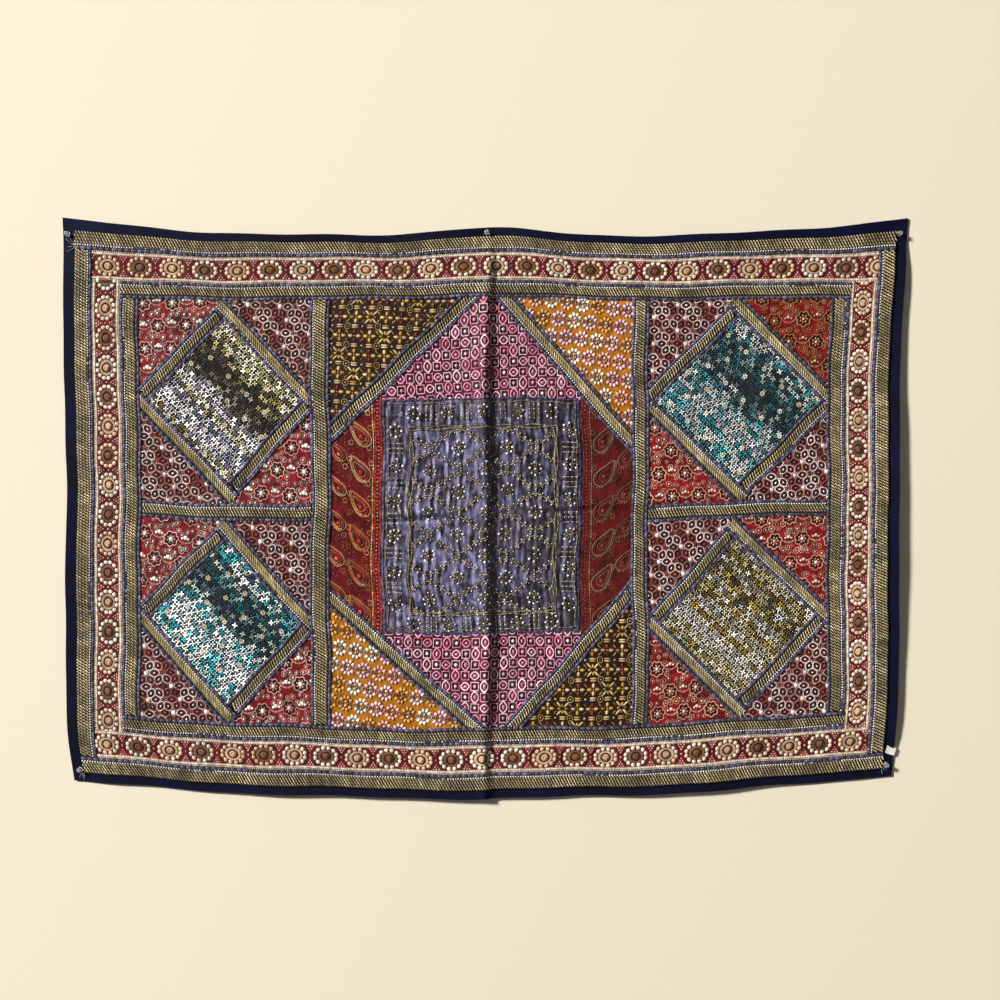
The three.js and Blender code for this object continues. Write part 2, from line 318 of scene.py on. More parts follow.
def paisley_curve(number=30):
    """A drop with a round foot, whose tip leans over"""
    share = np.arange(number) / number
    angles = share * 2 * math.pi
    up = -np.cos(angles)
    width = np.sin(angles) * (1 - 0.62 * (up + 1) / 2)
    lean = 0.34 * ((up + 1) / 2) ** 2.5
    return np.stack([width * 0.66 + lean, up], axis=-1)


SPHERE = bpy.ops.mesh.primitive_uv_sphere_add
QUARTER = (math.pi / 2, 0, 0)
BEAD = modelled_half(SPHERE, segments=6, ring_count=4, radius=1)
ROUND_BEAD = modelled_half(SPHERE, segments=10, ring_count=6, radius=1)
STRAND = lengthways(modelled_half(SPHERE, segments=6, ring_count=4, radius=1, rotation=QUARTER), 0.8)
PIPING = lengthways(modelled_half(SPHERE, segments=8, ring_count=6, radius=1, rotation=QUARTER), 0.3)
TUFT = modelled_half(bpy.ops.mesh.primitive_cone_add, vertices=4, radius1=1, depth=1,
                     end_fill_type="NOTHING", location=(0, 0, 0.5))
RING = hoop(round_curve(16), 0.26)
THIN_RING = hoop(round_curve(18), 0.2)
FINE_RING = hoop(round_curve(18), 0.14)
BROAD_RING = hoop(round_curve(20), 0.62)
SCALLOPED = hoop(round_curve(42, lambda a: 0.78 + 0.24 * abs(math.cos(3.5 * a))), 0.17)
PETAL = hoop(round_curve(16, pinch=1.0), 0.42)
LENS = hoop(round_curve(16, pinch=0.7), 0.27)
FRAME = hoop(round_curve(16, lambda a: 1 + 0.16 * math.cos(4 * a + math.pi)), 0.26)
PAISLEY = hoop(paisley_curve(), 0.07)


# --- Needlework: stitches, beads and cords drawn flat, then carried onto the hung cloth ---

def spun(offsets, turn):
    """Offsets turned anticlockwise"""
    offsets = np.asarray(offsets, float)
    across, up = offsets[..., 0], offsets[..., 1]
    cos, sin = np.cos(turn), np.sin(turn)
    return np.stack([across * cos - up * sin, across * sin + up * cos], axis=-1)


class Needlework:
    def __init__(self, base=STITCH_BASE, puckers=0.0, drawn=ripple):
        self.base, self.puckers, self.drawn = base, puckers, drawn
        self.points, self.colours = [], []
        self.triangles, self.quads = [], []
        self.triangle_finish, self.quad_finish = [], []
        self.count = 0

    def add(self, points, colours, triangles, quads, finish):
        self.points.append(points)
        self.colours.append(colours)
        self.triangles.append(triangles + self.count)
        self.quads.append(quads + self.count)
        self.triangle_finish.append(np.full(len(triangles), finish))
        self.quad_finish.append(np.full(len(quads), finish))
        self.count += len(points)

    def stamp(self, shape, centres, size, colours, turn=0.0, finish=0, lift=0.0):
        """The shape at each centre, at its size, turn and colour"""
        centres = np.atleast_2d(centres)
        number = len(centres)
        if not number:
            return
        turn = np.broadcast_to(turn, number)[:, None]
        size = np.broadcast_to(size, (number, 3))[:, None, :]
        colours = np.broadcast_to(colours, (number, 3))[:, None, :]
        local = shape.points[None] * size
        flat = centres[:, None, :] + spun(local[..., :2], turn)
        height = self.base + lift + local[..., 2:]
        # Painted shade: each stitch's colour darkens from its top down to its foot, where it meets the
        # cloth
        shade = BASE_SHADE + (1 - BASE_SHADE) * shape.points[:, 2].clip(0, 1)
        starts = np.arange(number)[:, None, None] * len(shape.points)
        self.add(
            np.concatenate([flat, height], axis=-1).reshape(-1, 3),
            (colours * shade[None, :, None]).reshape(-1, 3),
            (shape.triangles[None] + starts).reshape(-1, 3),
            (shape.quads[None] + starts).reshape(-1, 4),
            finish,
        )

    def around(self, shape, centres, radii, number, size, colours, turn=0.0, start=0.0, finish=0):
        """The shape a number of times round each centre, each pointing outwards"""
        centres = np.atleast_2d(centres)
        angles = start + np.arange(number) / number * 2 * math.pi
        offsets = np.stack([radii[0] * np.cos(angles), radii[1] * np.sin(angles)], axis=-1)
        turns = np.broadcast_to(turn, len(centres))[:, None]
        places = centres[:, None, :] + spun(offsets[None], turns)
        colours = np.repeat(np.broadcast_to(colours, (len(centres), 3)), number, axis=0)
        facing = (turns + angles[None]).ravel()
        self.stamp(shape, places.reshape(-1, 2), size, colours, facing, finish)

    def along(self, shape, path, pitch, size, colours, slant=0.0, aside=0.0, finish=0, lift=0.0,
              rng=None):
        """The shape at equal steps along a path, turned to follow it; colours come from a palette"""
        path = np.asarray(path, float)
        steps = np.linalg.norm(np.diff(path, axis=0), axis=1)
        reached = np.concatenate([[0], np.cumsum(steps)])
        number = max(1, int(reached[-1] / pitch))
        wanted = (np.arange(number) + 0.5) * reached[-1] / number
        centres = np.stack([np.interp(wanted, reached, path[:, k]) for k in (0, 1)], axis=-1)
        which = np.clip(np.searchsorted(reached, wanted) - 1, 0, len(steps) - 1)
        ahead = (np.diff(path, axis=0) / steps[:, None])[which]
        facing = np.arctan2(ahead[:, 1], ahead[:, 0])
        centres = centres + np.stack([-ahead[:, 1], ahead[:, 0]], axis=-1) * aside
        if rng is not None:
            colours = pick(rng, colours, number)
        self.stamp(shape, centres, size, colours, facing + slant, finish, lift)
        return centres

    def make(self, name, finishes, outline=None, reach=1.5):
        """All of it as one piece, without what falls outside the outline"""
        points = np.concatenate(self.points)
        colours = np.concatenate(self.colours)
        kept = []
        for faces, finish in ((self.triangles, self.triangle_finish), (self.quads, self.quad_finish)):
            faces, finish = np.concatenate(faces), np.concatenate(finish)
            if outline is not None and len(faces):
                inside = depth_inside(points[faces].mean(axis=1)[:, :2], outline) > -reach
                faces, finish = faces[inside], finish[inside]
            kept.append((faces, finish))
        (triangles, triangle_finish), (quads, quad_finish) = kept
        corners = np.concatenate([triangles.ravel(), quads.ravel()])
        used, corners = np.unique(corners, return_inverse=True)
        points, colours = points[used], colours[used]
        hung = place(points[:, 0], points[:, 1], points[:, 2], self.puckers, self.drawn)
        piece = new_mesh(name, hung, corners, len(triangles), len(quads), finishes,
                         np.concatenate([triangle_finish, quad_finish]))
        paint = piece.data.color_attributes.new("thread", "FLOAT_COLOR", "POINT")
        paint.data.foreach_set("color", np.c_[colours, np.ones(len(colours))].ravel())
        return piece


def new_mesh(name, points, corners, triangle_count, quad_count, finishes, face_finish):
    """A mesh object from its points and its faces' corners, triangles first and then quads"""
    mesh = bpy.data.meshes.new(name)
    mesh.vertices.add(len(points))
    mesh.vertices.foreach_set("co", points.ravel())
    mesh.loops.add(len(corners))
    mesh.loops.foreach_set("vertex_index", corners.astype(np.int32))
    starts = np.concatenate([
        np.arange(triangle_count) * 3,
        triangle_count * 3 + np.arange(quad_count) * 4,
    ])
    mesh.polygons.add(len(starts))
    mesh.polygons.foreach_set("loop_start", starts.astype(np.int32))
    for finish in finishes:
        mesh.materials.append(finish)
    mesh.polygons.foreach_set("material_index", face_finish.astype(np.int32))
    mesh.polygons.foreach_set("use_smooth", np.ones(len(starts), bool))
    mesh.update(calc_edges=True)
    mesh.validate()
    piece = bpy.data.objects.new(name, mesh)
    bpy.context.scene.collection.objects.link(piece)
    return piece


def lattice(outline, pitch, turn=0.0, shift=0.0, reach=14.0, start=(0.0, 0.0)):
    """Places of a repeating pattern over a patch, with each one's column and row"""
    middle = outline.mean(axis=0)
    far = np.abs(outline - middle).max() * 1.5 + 60
    columns = np.arange(-int(far / pitch[0]) - 1, int(far / pitch[0]) + 2)
    rows = np.arange(-int(far / pitch[1]) - 1, int(far / pitch[1]) + 2)
    column, row = (grid.ravel() for grid in np.meshgrid(columns, rows))
    across = (column + (shift * row) % 1.0) * pitch[0] + start[0]
    centres = middle + spun(np.stack([across, row * pitch[1] + start[1]], axis=-1), turn)
    kept = depth_inside(centres, outline) > -reach
    return centres[kept], column[kept], row[kept]


# --- Materials ---

def feed(tree, socket, value):
    """Links a socket to another node's output, or sets its value"""
    if isinstance(value, bpy.types.NodeSocket):
        tree.links.new(value, socket)
    else:
        socket.default_value = value


def add_node(tree, kind, settings=None, **inputs):
    """A node with its settings made and its inputs set or linked"""
    node = tree.nodes.new("ShaderNode" + kind)
    for key, value in (settings or {}).items():
        setattr(node, key, value)
    for key, value in inputs.items():
        feed(tree, node.inputs[key.replace("_", " ")], value)
    return node


def mixed(tree, factor, first, second, mode="MIX"):
    """Two colours mixed by a factor; a colour may be given by its code"""
    node = add_node(tree, "Mix", {"data_type": "RGBA", "blend_type": mode})
    for place_in, value in ((0, factor), (6, first), (7, second)):
        feed(tree, node.inputs[place_in], rgba(value) if isinstance(value, str) else value)
    return node.outputs[2]


def ramp(tree, factor, low, high, to_low=0.0, to_high=1.0):
    """A factor stretched so that low gives to_low and high gives to_high"""
    return add_node(tree, "MapRange", Value=factor, From_Min=low, From_Max=high, To_Min=to_low,
                    To_Max=to_high).outputs[0]


def noise(tree, vector, scale, detail=2.0, output="Fac", **inputs):
    return add_node(tree, "TexNoise", Vector=vector, Scale=scale, Detail=detail,
                    **inputs).outputs[output]


def flat_cut(tree):
    """Where a point is on the cutting table"""
    return add_node(tree, "UVMap", {"uv_map": "UVMap"}).outputs[0]


def in_object(tree):
    return add_node(tree, "TexCoord").outputs["Object"]


def rgba(code):
    return (*linear(code), 1.0)


def start_material(name, roughness, **settings):
    material = bpy.data.materials.new(name)
    material.use_nodes = True
    tree = material.node_tree
    shader = tree.nodes["Principled BSDF"]
    shader.inputs["Roughness"].default_value = roughness
    for key, value in settings.items():
        shader.inputs[key.replace("_", " ")].default_value = value
    return material, tree, shader


def dress(tree, shader, colour, roughness=None, height=None, distance=0.0, strength=1.0):
    """Gives a shader its colour, and its roughness and bump where they vary"""
    feed(tree, shader.inputs["Base Color"], colour)
    if roughness:
        feed(tree, shader.inputs["Roughness"], roughness)
    if height:
        bump = add_node(tree, "Bump", Height=height, Distance=distance, Strength=strength)
        feed(tree, shader.inputs["Normal"], bump.outputs[0])


def woven_cloth(name, dark, light, roughness, weave=0.0011, shine=0.2, patch=28.0, slub=0.5):
    """Cloth with warp and weft, faded and slubbed unevenly"""
    material, tree, shader = start_material(name, roughness, Specular_IOR_Level=shine)
    uv = flat_cut(tree)
    clouds = noise(tree, uv, patch, 4.0, Roughness=0.6)
    warp, weft = (add_node(tree, "TexWave", {"bands_direction": direction}, Vector=uv, Detail=1.0,
                           Scale=0.314 / weave, Distortion=0.6).outputs["Fac"] for direction in "XY")
    faded = mixed(tree, ramp(tree, clouds, 0.3, 0.7), dark, light)
    woven = mixed(tree, 0.5, warp, weft, "MULTIPLY")
    threads = mixed(tree, 0.5, woven, noise(tree, uv, 900.0))
    worn = ramp(tree, clouds, 0.0, 1.0, roughness - 0.1, roughness + 0.12)
    dress(tree, shader, mixed(tree, slub, faded, threads, "OVERLAY"), worn, woven, 0.0003, 0.5)
    return material


def crushed_satin():
    """Shiny satin, lilac where it is clean and grey brown where it is worn, with painted sheen
    streaks, painted light and shade for its crumples, and painted shade on its right side
    """
    material, tree, shader = start_material("blue grey satin", 0.38)
    uv = flat_cut(tree)
    stretched = add_node(tree, "Mapping", Vector=uv, Scale=(1.0, 0.28, 1.0)).outputs[0]
    streaks = noise(tree, stretched, 120.0, 4.0, Roughness=0.6)
    # Painted sheen: lighter streaks that run up the satin, in its clean and its worn parts alike
    painted_sheen_streaks = ramp(tree, streaks, 0.38, 0.64)
    worn = ramp(tree, noise(tree, uv, 14.0, 4.0, Roughness=0.65), 0.4, 0.62)
    satin = mixed(tree, worn, mixed(tree, painted_sheen_streaks, "2e2e44", "a8a8e0"),
                  mixed(tree, painted_sheen_streaks, "1c1918", "7c748c"))
    # Painted light and shade in broad patches, for the crumples of the satin
    painted_crumple_shading = ramp(tree, noise(tree, uv, 34.0, 3.0, Distortion=1.6), 0.36, 0.6)
    # Painted shade over the right side of the panel, in the shadow of the fold in the middle
    side = ramp(tree, add_node(tree, "SeparateXYZ", Vector=uv).outputs["X"], -0.06, 0.09)
    grey = mixed(tree, 1.0, mixed(tree, painted_crumple_shading, "4a4a54", "fcfcff"),
                 mixed(tree, side, "ffffff", "b4b0b0"), "MULTIPLY")
    dress(tree, shader, mixed(tree, 1.0, satin, grey, "MULTIPLY"),
          ramp(tree, streaks, 0.0, 1.0, 0.28, 0.5), streaks, 0.0012, 0.7)
    return material


def dyed_thread(name, roughness, grain=1400.0, depth=0.0002, spread=0.25, **settings):
    """Thread, cord or beads in the colours that their stitches were given, painted shade at their feet
    included
    """
    material, tree, shader = start_material(name, roughness, **settings)
    colour = add_node(tree, "Attribute", {"attribute_name": "thread"}).outputs["Color"]
    spot = in_object(tree)
    fibres = add_node(tree, "TexNoise", Vector=spot, Scale=grain, Detail=3.0).outputs
    lit = mixed(tree, spread, colour, fibres["Color"], "OVERLAY")
    soiled = mixed(tree, ramp(tree, noise(tree, spot, 60.0, 3.0), 0.45, 0.75), lit,
                   mixed(tree, 0.35, lit, "3a3024", "MULTIPLY"))
    rough = ramp(tree, fibres["Fac"], 0.0, 1.0, roughness - 0.08, roughness + 0.15)
    dress(tree, shader, soiled, rough, fibres["Fac"], depth, 0.6)
    return material


NAVY = woven_cloth("navy cotton sateen", "020212", "060f34", 0.6, 0.0009, 0.1, 9.0, 0.35)
EMBROIDERY = dyed_thread("embroidery silk", 0.5, Specular_IOR_Level=0.3)
BEADS = dyed_thread("glass beads and sequins", 0.22, 500.0, 0.00005, 0.12, Coat_Weight=0.5,
                    Coat_Roughness=0.1)
GOLD_THREAD = dyed_thread("tarnished gold thread", 0.42, 1100.0, 0.0002, 0.3, Metallic=0.35)
PIPING_SATIN = dyed_thread("violet piping satin", 0.45, 800.0, 0.0002, 0.25, Sheen_Weight=0.35)
WHITE_COTTON = dyed_thread("white cotton stitches", 0.55, 1500.0, 0.0001, 0.15)
CLOTHS = {
    "brocade": woven_cloth("crimson brocade ground", "2c0508", "74101a", 0.6),
    "red_floral": woven_cloth("crimson silk", "3c0308", "a80a18", 0.5),
    "ring_lattice": woven_cloth("maroon cotton", "2a0a0a", "682c26", 0.65),
    "brown_gold": woven_cloth("dark brown silk", "140603", "2c1005", 0.55),
    "orange_floral": woven_cloth("ochre satin", "8c5008", "d68c18", 0.42, patch=60.0),
    "pink_floral": woven_cloth("plum silk", "2c0618", "641438", 0.5),
    "paisley_red": woven_cloth("deep red wool", "2e0305", "740a10", 0.7),
    "blue_satin": crushed_satin(),
    "white_beadwork": woven_cloth("dark beadwork ground", "0a0908", "201c14", 0.6),
    "teal_beadwork": woven_cloth("dark teal beadwork ground", "04121a", "0c3038", 0.6),
    "gold_beadwork": woven_cloth("dark gold beadwork ground", "0c0a07", "2c2410", 0.6),
}
LABEL_TAPE = woven_cloth("white label tape", "e4e0d6", "f6f4ee", 0.7)


def clear_plastic():
    material, tree, shader = start_material(
        "clear polystyrene", 0.12, Transmission_Weight=0.8, IOR=1.58, Base_Color=rgba("eef2f2"))
    swirl = noise(tree, in_object(tree), 420.0)
    dress(tree, shader, mixed(tree, ramp(tree, swirl, 0.3, 0.7), "e2e8ea", "fbfcfc"),
          ramp(tree, swirl, 0.0, 1.0, 0.08, 0.22))
    return material


def bright_steel():
    material, tree, shader = start_material("bright steel", 0.22, Metallic=1.0)
    drawn = noise(tree, in_object(tree), 2600.0)
    dress(tree, shader, mixed(tree, drawn, "a8a9ab", "d2d3d4"), None, drawn, 0.00002, 0.5)
    return material


CLEAR_PLASTIC = clear_plastic()
STEEL = bright_steel()


# --- Cloth ---

def grid_lines(low, high, step):
    """Where a cloth's mesh is divided, closer together over the fold in the middle"""
    lines = np.linspace(low, high, max(2, round((high - low) / step) + 1))
    fold = np.arange(-63.0, 64.0, 3.0)
    fold = fold[(fold > low + 2) & (fold < high - 2)]
    if step > 4 and len(fold):
        lines = np.concatenate([lines[(lines < fold[0] - 2) | (lines > fold[-1] + 2)], fold])
    return np.unique(lines)


def grid_faces(columns, rows):
    """The quads of a grid of points, row by row"""
    first = (np.arange(rows - 1)[:, None] * columns + np.arange(columns - 1)).ravel()
    return np.stack([first, first + 1, first + 1 + columns, first + columns], axis=-1)


def map_flat(mesh, flat):
    """Gives a mesh's points their places on the cutting table as its UV map"""
    corners = np.zeros(len(mesh.loops), np.int32)
    mesh.loops.foreach_get("vertex_index", corners)
    uv = mesh.uv_layers.new(name="UVMap")
    uv.data.foreach_set("uv", (flat[corners] / 1000).ravel())


def thicken(piece, thickness):
    """Gives a sheet its thickness, behind its front"""
    solid = piece.modifiers.new("thickness", "SOLIDIFY")
    solid.thickness = thickness / 1000
    solid.offset = -1
    apply_all(piece)


def cloth(name, outline, step, front, thickness, finish, puckers=0.0, drawn=ripple):
    """A thin closed sheet cut to an outline, hung, with its flat cut as its UV map"""
    low, high = outline.min(axis=0), outline.max(axis=0)
    across = grid_lines(low[0], high[0], step)
    up = np.linspace(low[1], high[1], max(2, round((high[1] - low[1]) / step) + 1))
    us, vs = (grid.ravel() for grid in np.meshgrid(across, up))
    quads = grid_faces(len(across), len(up))
    piece = new_mesh(name, np.stack([us, vs, us * 0], axis=-1), quads.ravel(), 0, len(quads),
                     [finish], np.zeros(len(quads)))
    mesh = piece.data
    shape = bmesh.new()
    shape.from_mesh(mesh)
    for a, b in edges_of(outline):
        if min(abs(b - a)) > 1e-6:
            everything = shape.verts[:] + shape.edges[:] + shape.faces[:]
            bmesh.ops.bisect_plane(shape, geom=everything, dist=0.01, plane_co=(*a, 0),
                                   plane_no=(b[1] - a[1], a[0] - b[0], 0), clear_outer=True)
    shape.to_mesh(mesh)
    shape.free()
    flat = np.zeros(len(mesh.vertices) * 3)
    mesh.vertices.foreach_get("co", flat)
    flat = flat.reshape(-1, 3)[:, :2]
    map_flat(mesh, flat)
    mesh.vertices.foreach_set("co", place(*flat.T, front, puckers, drawn).ravel())
    mesh.update()
    thicken(piece, thickness)
    return piece


def attach(piece, node, body="hanging"):
    """Puts a piece on its body, in place of a CAD node"""
    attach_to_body(piece, body)
    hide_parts(node)


def apply_all(piece):
    bpy.ops.object.select_all(action="DESELECT")
    piece.select_set(True)
    bpy.context.view_layer.objects.active = piece
    for modifier in list(piece.modifiers):
        bpy.ops.object.modifier_apply(modifier=modifier.name)
    bpy.ops.object.shade_smooth_by_angle(angle=math.radians(50))


def patch(node, outline, slot, stitches, step=6.0, puckers=PUCKERS, drawn=ripple, lift=0.0):
    """One sewn patch and its needlework, in place of the CAD node"""
    whole = shrunk(outline, -SEAM_ALLOWANCE)
    piece = cloth(f"{node}_cloth", whole, step, PATCH_FRONT + lift, PATCH_THICKNESS, CLOTHS[slot],
                  puckers, drawn)
    attach(piece, node)
    work = Needlework(STITCH_BASE + lift, puckers, drawn)
    stitches(work, outline)
    sewn = work.make(f"{node}_stitches", [EMBROIDERY, BEADS], outline)
    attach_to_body(sewn, "hanging")


# --- Patterns ---

SILK, GLASS = 0, 1  # which finish a stitch has
ALL = slice(None)
CREAM = tones("f0e2c4 e2cda4 f6ecd6 d9bf94")
BLUSH = tones("f0b8a8 e49c8c f4ccbc d08474")
WHITES = tones("ffffff f2efe6 fbf7ee e8e4dc")
PINKED = tones("fff2e6 f8e0cc fff8ee f0d0b8")


class Motifs:
    """A patch's repeating motif: where it comes, and ways to sew the same stitch at each place"""

    def __init__(self, work, outline, seed, turns, pitch, shift, reach, wander):
        self.work = work
        self.rng = np.random.default_rng(int(abs(outline.sum())) + seed)
        self.turn = self.rng.uniform(*turns)
        self.start = self.rng.uniform(-wander, wander, 2)
        self.centres, self.column, self.row = lattice(outline, pitch, self.turn, shift, reach,
                                                      self.start)

    def paint(self, colours, number, spread):
        """Colours picked from a palette, or as given: one for all, or no spread"""
        given = colours.ndim == 1 or spread is None
        return colours if given else pick(self.rng, colours, number, spread)

    def stamp(self, shape, size, colours, offset=(0, 0), which=ALL, facing=0.0, boost=1.0,
              spread=0.15, finish=SILK):
        spots = self.centres[which] + spun(offset, self.turn)
        colours = self.paint(colours, len(spots), spread) * boost
        self.work.stamp(shape, spots, size, colours, self.turn + facing, finish)

    def around(self, shape, radii, number, size, colours, which=ALL, start=0.0):
        spots = self.centres[which]
        colours = self.paint(colours, len(spots), 0.15)
        self.work.around(shape, spots, radii, number, size, colours, self.turn, start)


def specks(work, outline, rng, colours, pitch=5.0, size=(1.9, 0.8, 0.7)):
    """Loose little stitches all over a patch"""
    spots = lattice(outline, (pitch, pitch), 0.4, 0.5, 2)[0]
    spots = spots + rng.normal(0, pitch / 4, spots.shape)
    turns = rng.uniform(0, math.pi, len(spots))
    work.stamp(TUFT, spots, size, pick(rng, colours, len(spots), 0.3), turns)


def run_of(start, end):
    """A run's start, length, and the directions along it and to its left, and its angle"""
    start, end = np.array(start, float), np.array(end, float)
    length = np.linalg.norm(end - start)
    ahead = (end - start) / length
    aside = np.array([-ahead[1], ahead[0]])
    return start, length, ahead, aside, math.atan2(ahead[1], ahead[0])


def brocade_strip(work, start, end, half_width, period, phase, rng):
    """Medallions of petals, alternately light and brown, between two beaded selvedges"""
    start, length, ahead, aside, turn = run_of(start, end)
    reach = half_width - 8.3

    def at(along, across):
        return start + np.multiply.outer(along, ahead) + np.multiply.outer(across, aside)

    steps = np.arange(-1, int(length / period) + 2)
    middles = phase + steps * period
    centres = at(middles, 0.0 * middles)
    work.stamp(BROAD_RING, centres, (18.6, reach - 2.2, 0.5), linear("160204"), turn)
    light = np.where((steps % 2)[:, None], linear("8c6244"), linear("f0c8a0"))
    light = light * rng.uniform(0.8, 1.2, (len(steps), 1))
    work.stamp(BROAD_RING, centres, (12.4, reach - 6.6, 1.0), light, turn)
    work.around(STRAND, centres, (12.4, reach - 6.6), 20, (3.0, 0.35, 1.35), light * 0.35, turn)
    for shape, size, colours, lift in (
        (FINE_RING, (8.4, 8.0, 1.6), linear("35100a"), 0),
        (ROUND_BEAD, (7.0, 6.6, 1.4), light * 1.1, 0.1),
        (FINE_RING, (4.1, 4.0, 1.7), light * 0.4, 0),
        (RING, (2.4, 2.4, 2.1), light * 0.5, 0),
    ):
        work.stamp(shape, centres, size, colours, turn, lift=lift)
    petals = pick(rng, tones("ffe8d0 f6ceac fadcc0 f0c4a0 fff2e2"), len(centres), 0.08) * 1.08
    work.around(ROUND_BEAD, centres, (19.6, reach - 1.2), 12, (4.0, 4.5, 2.0), petals, turn,
                math.pi / 12, GLASS)
    work.around(BEAD, centres, (19.4, reach - 1.4), 12, (1.5, 1.5, 2.5), petals * 0.45, turn,
                math.pi / 12)
    between = middles + period / 2
    work.stamp(BEAD, at(between, 0 * between), (2.3, 2.3, 1.4), pick(rng, BLUSH, len(steps)), turn)
    for side in (-1, 1):
        for row, number in enumerate((1, 2, 3)):
            across = 0 * between + side * (reach - 8.2 + row * 3.9)
            for k in range(number):
                spots = at(between + (k - (number - 1) / 2) * 5.0, across)
                work.stamp(BEAD, spots, (2.1, 2.0, 1.4), pick(rng, BLUSH, len(steps)), turn)
        edge = at(np.array([0.0, length]), np.full(2, side * (half_width - 3.9)))
        work.along(STRAND, edge, 3.1, (2.9, 2.2, 2.0), PINKED, 0.8 * side, rng=rng)
        work.along(BEAD, edge, 3.6, (1.9, 1.5, 1.7), CREAM, aside=side * 3.2, rng=rng)
        work.along(STRAND, edge, 5.0, (2.8, 0.7, 1.0), BLUSH * 0.8, aside=-side * 2.5, rng=rng)


RED_MOODS = {  # the colours of the rings, the buttons and the loose stitches; the buttons' size
    "white": (tones("f8c8bc f0aca0 fad8cc"), WHITES, tones("a83840 48060e 200206 28040a 34040a"),
              1.4),
    "red": (tones("f4c8a4 e8a888 f0b89c"), tones("f0e0d0 e8c4b0 fff0e4"),
            tones("e03040 8c0c18 40040a f08078 c41828"), 1.1),
    "gold": (tones("c8946c b8803c d0a060"), tones("d8c49c cdb684"),
             tones("a86838 5c140c 2c0406 c89060 7c2414"), 0.9),
}


def red_flowers(mood):
    """Scalloped rings round buttons, with swags of stitches and little curls between"""
    rings, buttons, loose, big = RED_MOODS[mood]

    def sew(work, outline):
        motifs = Motifs(work, outline, 5, (-0.12, 0.12), (50, 42), 0.5, 40, 20)
        rng, turn = motifs.rng, motifs.turn
        motifs.centres = motifs.centres + rng.normal(0, 1.2, motifs.centres.shape)
        specks(work, outline, rng, loose, 4.0, (2.1, 0.8 * big, 0.8))
        motifs.stamp(BROAD_RING, (9.4, 9.6, 0.8), linear("2c0508"))
        motifs.stamp(SCALLOPED, (13.6, 14.2, 1.8), rings, facing=0.2, boost=1.1)
        motifs.around(BEAD, (6.0, 6.3), 7, (2.5, 1.4, 1.5), rings)
        button = {"facing": -turn, "boost": 1.15, "finish": GLASS}
        motifs.stamp(BEAD, (3.4 * big, 3.8 * big, 2.2), buttons, spread=0.05, **button)
        for k in range(-5, 6):
            motifs.stamp(STRAND, (2.6, 0.8, 1.4), rings, (25 + 2.3 * k, -4 + 0.2 * k * k),
                         facing=math.pi / 2 - 0.13 * k)
        for across, up, size in ((19.6, 4.6, 2.3), (25, 6.6, 3.6), (30.4, 4.6, 2.3)):
            motifs.stamp(BEAD, (size * big, size * big, 2.0), buttons, (across, up), spread=0.08,
                         **button)
        curls = lattice(outline, (11.5, 10.5), turn, 0.5, 2, motifs.start)[0]
        curls = curls + rng.normal(0, 2.0, curls.shape)
        for across, reach in ((0, 16.5), (25, 11.0)):
            taken = motifs.centres + spun((across, 0), turn)
            gaps = np.linalg.norm(curls[:, None] - taken[None], axis=2).min(axis=1)
            curls = curls[gaps > reach]
        size = rng.uniform(3.0, 4.8, (len(curls), 1)) * np.array([1.0, 1.2, 0.32])
        work.stamp(RING, curls, size, pick(rng, rings, len(curls), 0.3),
                   rng.uniform(0, 3, len(curls)))
        work.stamp(BEAD, curls, size * [0.4 * big, 0.4 * big, 1.2],
                   pick(rng, buttons, len(curls), 0.3))

    return sew


def ring_rows(work, outline):
    """Six-petal flowers that share their petals, each petal an outlined lens with an eye"""
    motifs = Motifs(work, outline, 11, (-0.12, 0.12), (29.0, 24.0), 0.5, 20, 9)
    rng, turn, centres = motifs.rng, motifs.turn, motifs.centres
    pale = tones("fff4f6 f8e4e4 f0d0cc fffafa")
    ruddy = tones("cc8c84 b06058 c47c74 a4544c d4a49c")
    ground, number = linear("34080c"), len(centres)
    specks(work, outline, rng, tones("6c3430 2c0c0c 8c4c44 180606 4c1c18"), 4.6, (1.7, 0.8, 0.7))
    light = motifs.column % 2 == 0
    for across, up, facing, lit in ((14.5, 0, 0, light), (-7.25, -12, 1.03, ~light),
                                    (7.25, -12, -1.03, ~light)):
        spots = centres + spun((across, up), turn) + rng.normal(0, 0.35, centres.shape)
        edge = np.where(lit[:, None], pick(rng, pale, number) * 1.2, pick(rng, ruddy, number))
        for shape, size, colours in ((BEAD, (6.6, 3.9, 0.7), ground), (LENS, (9.3, 6.9, 1.9), edge),
                                     (BEAD, (3.0, 1.7, 1.6), edge)):
            work.stamp(shape, spots, size, colours, turn + facing)
    motifs.stamp(ROUND_BEAD, (4.5, 4.9, 1.8), pale, which=light, facing=-turn, boost=1.1,
                 spread=0.05, finish=GLASS)
    motifs.around(STRAND, (3.3, 3.6), 8, (2.3, 0.8, 1.3), ruddy, ~light)


def share_across(points, lower, upper):
    """How far points lie from one line to the line facing it, from 0 to 1"""
    near, far = (np.array([side_of(edge, point) / np.linalg.norm(edge[1] - edge[0])
                           for point in points]) for edge in (lower, upper))
    return near / (near + far)


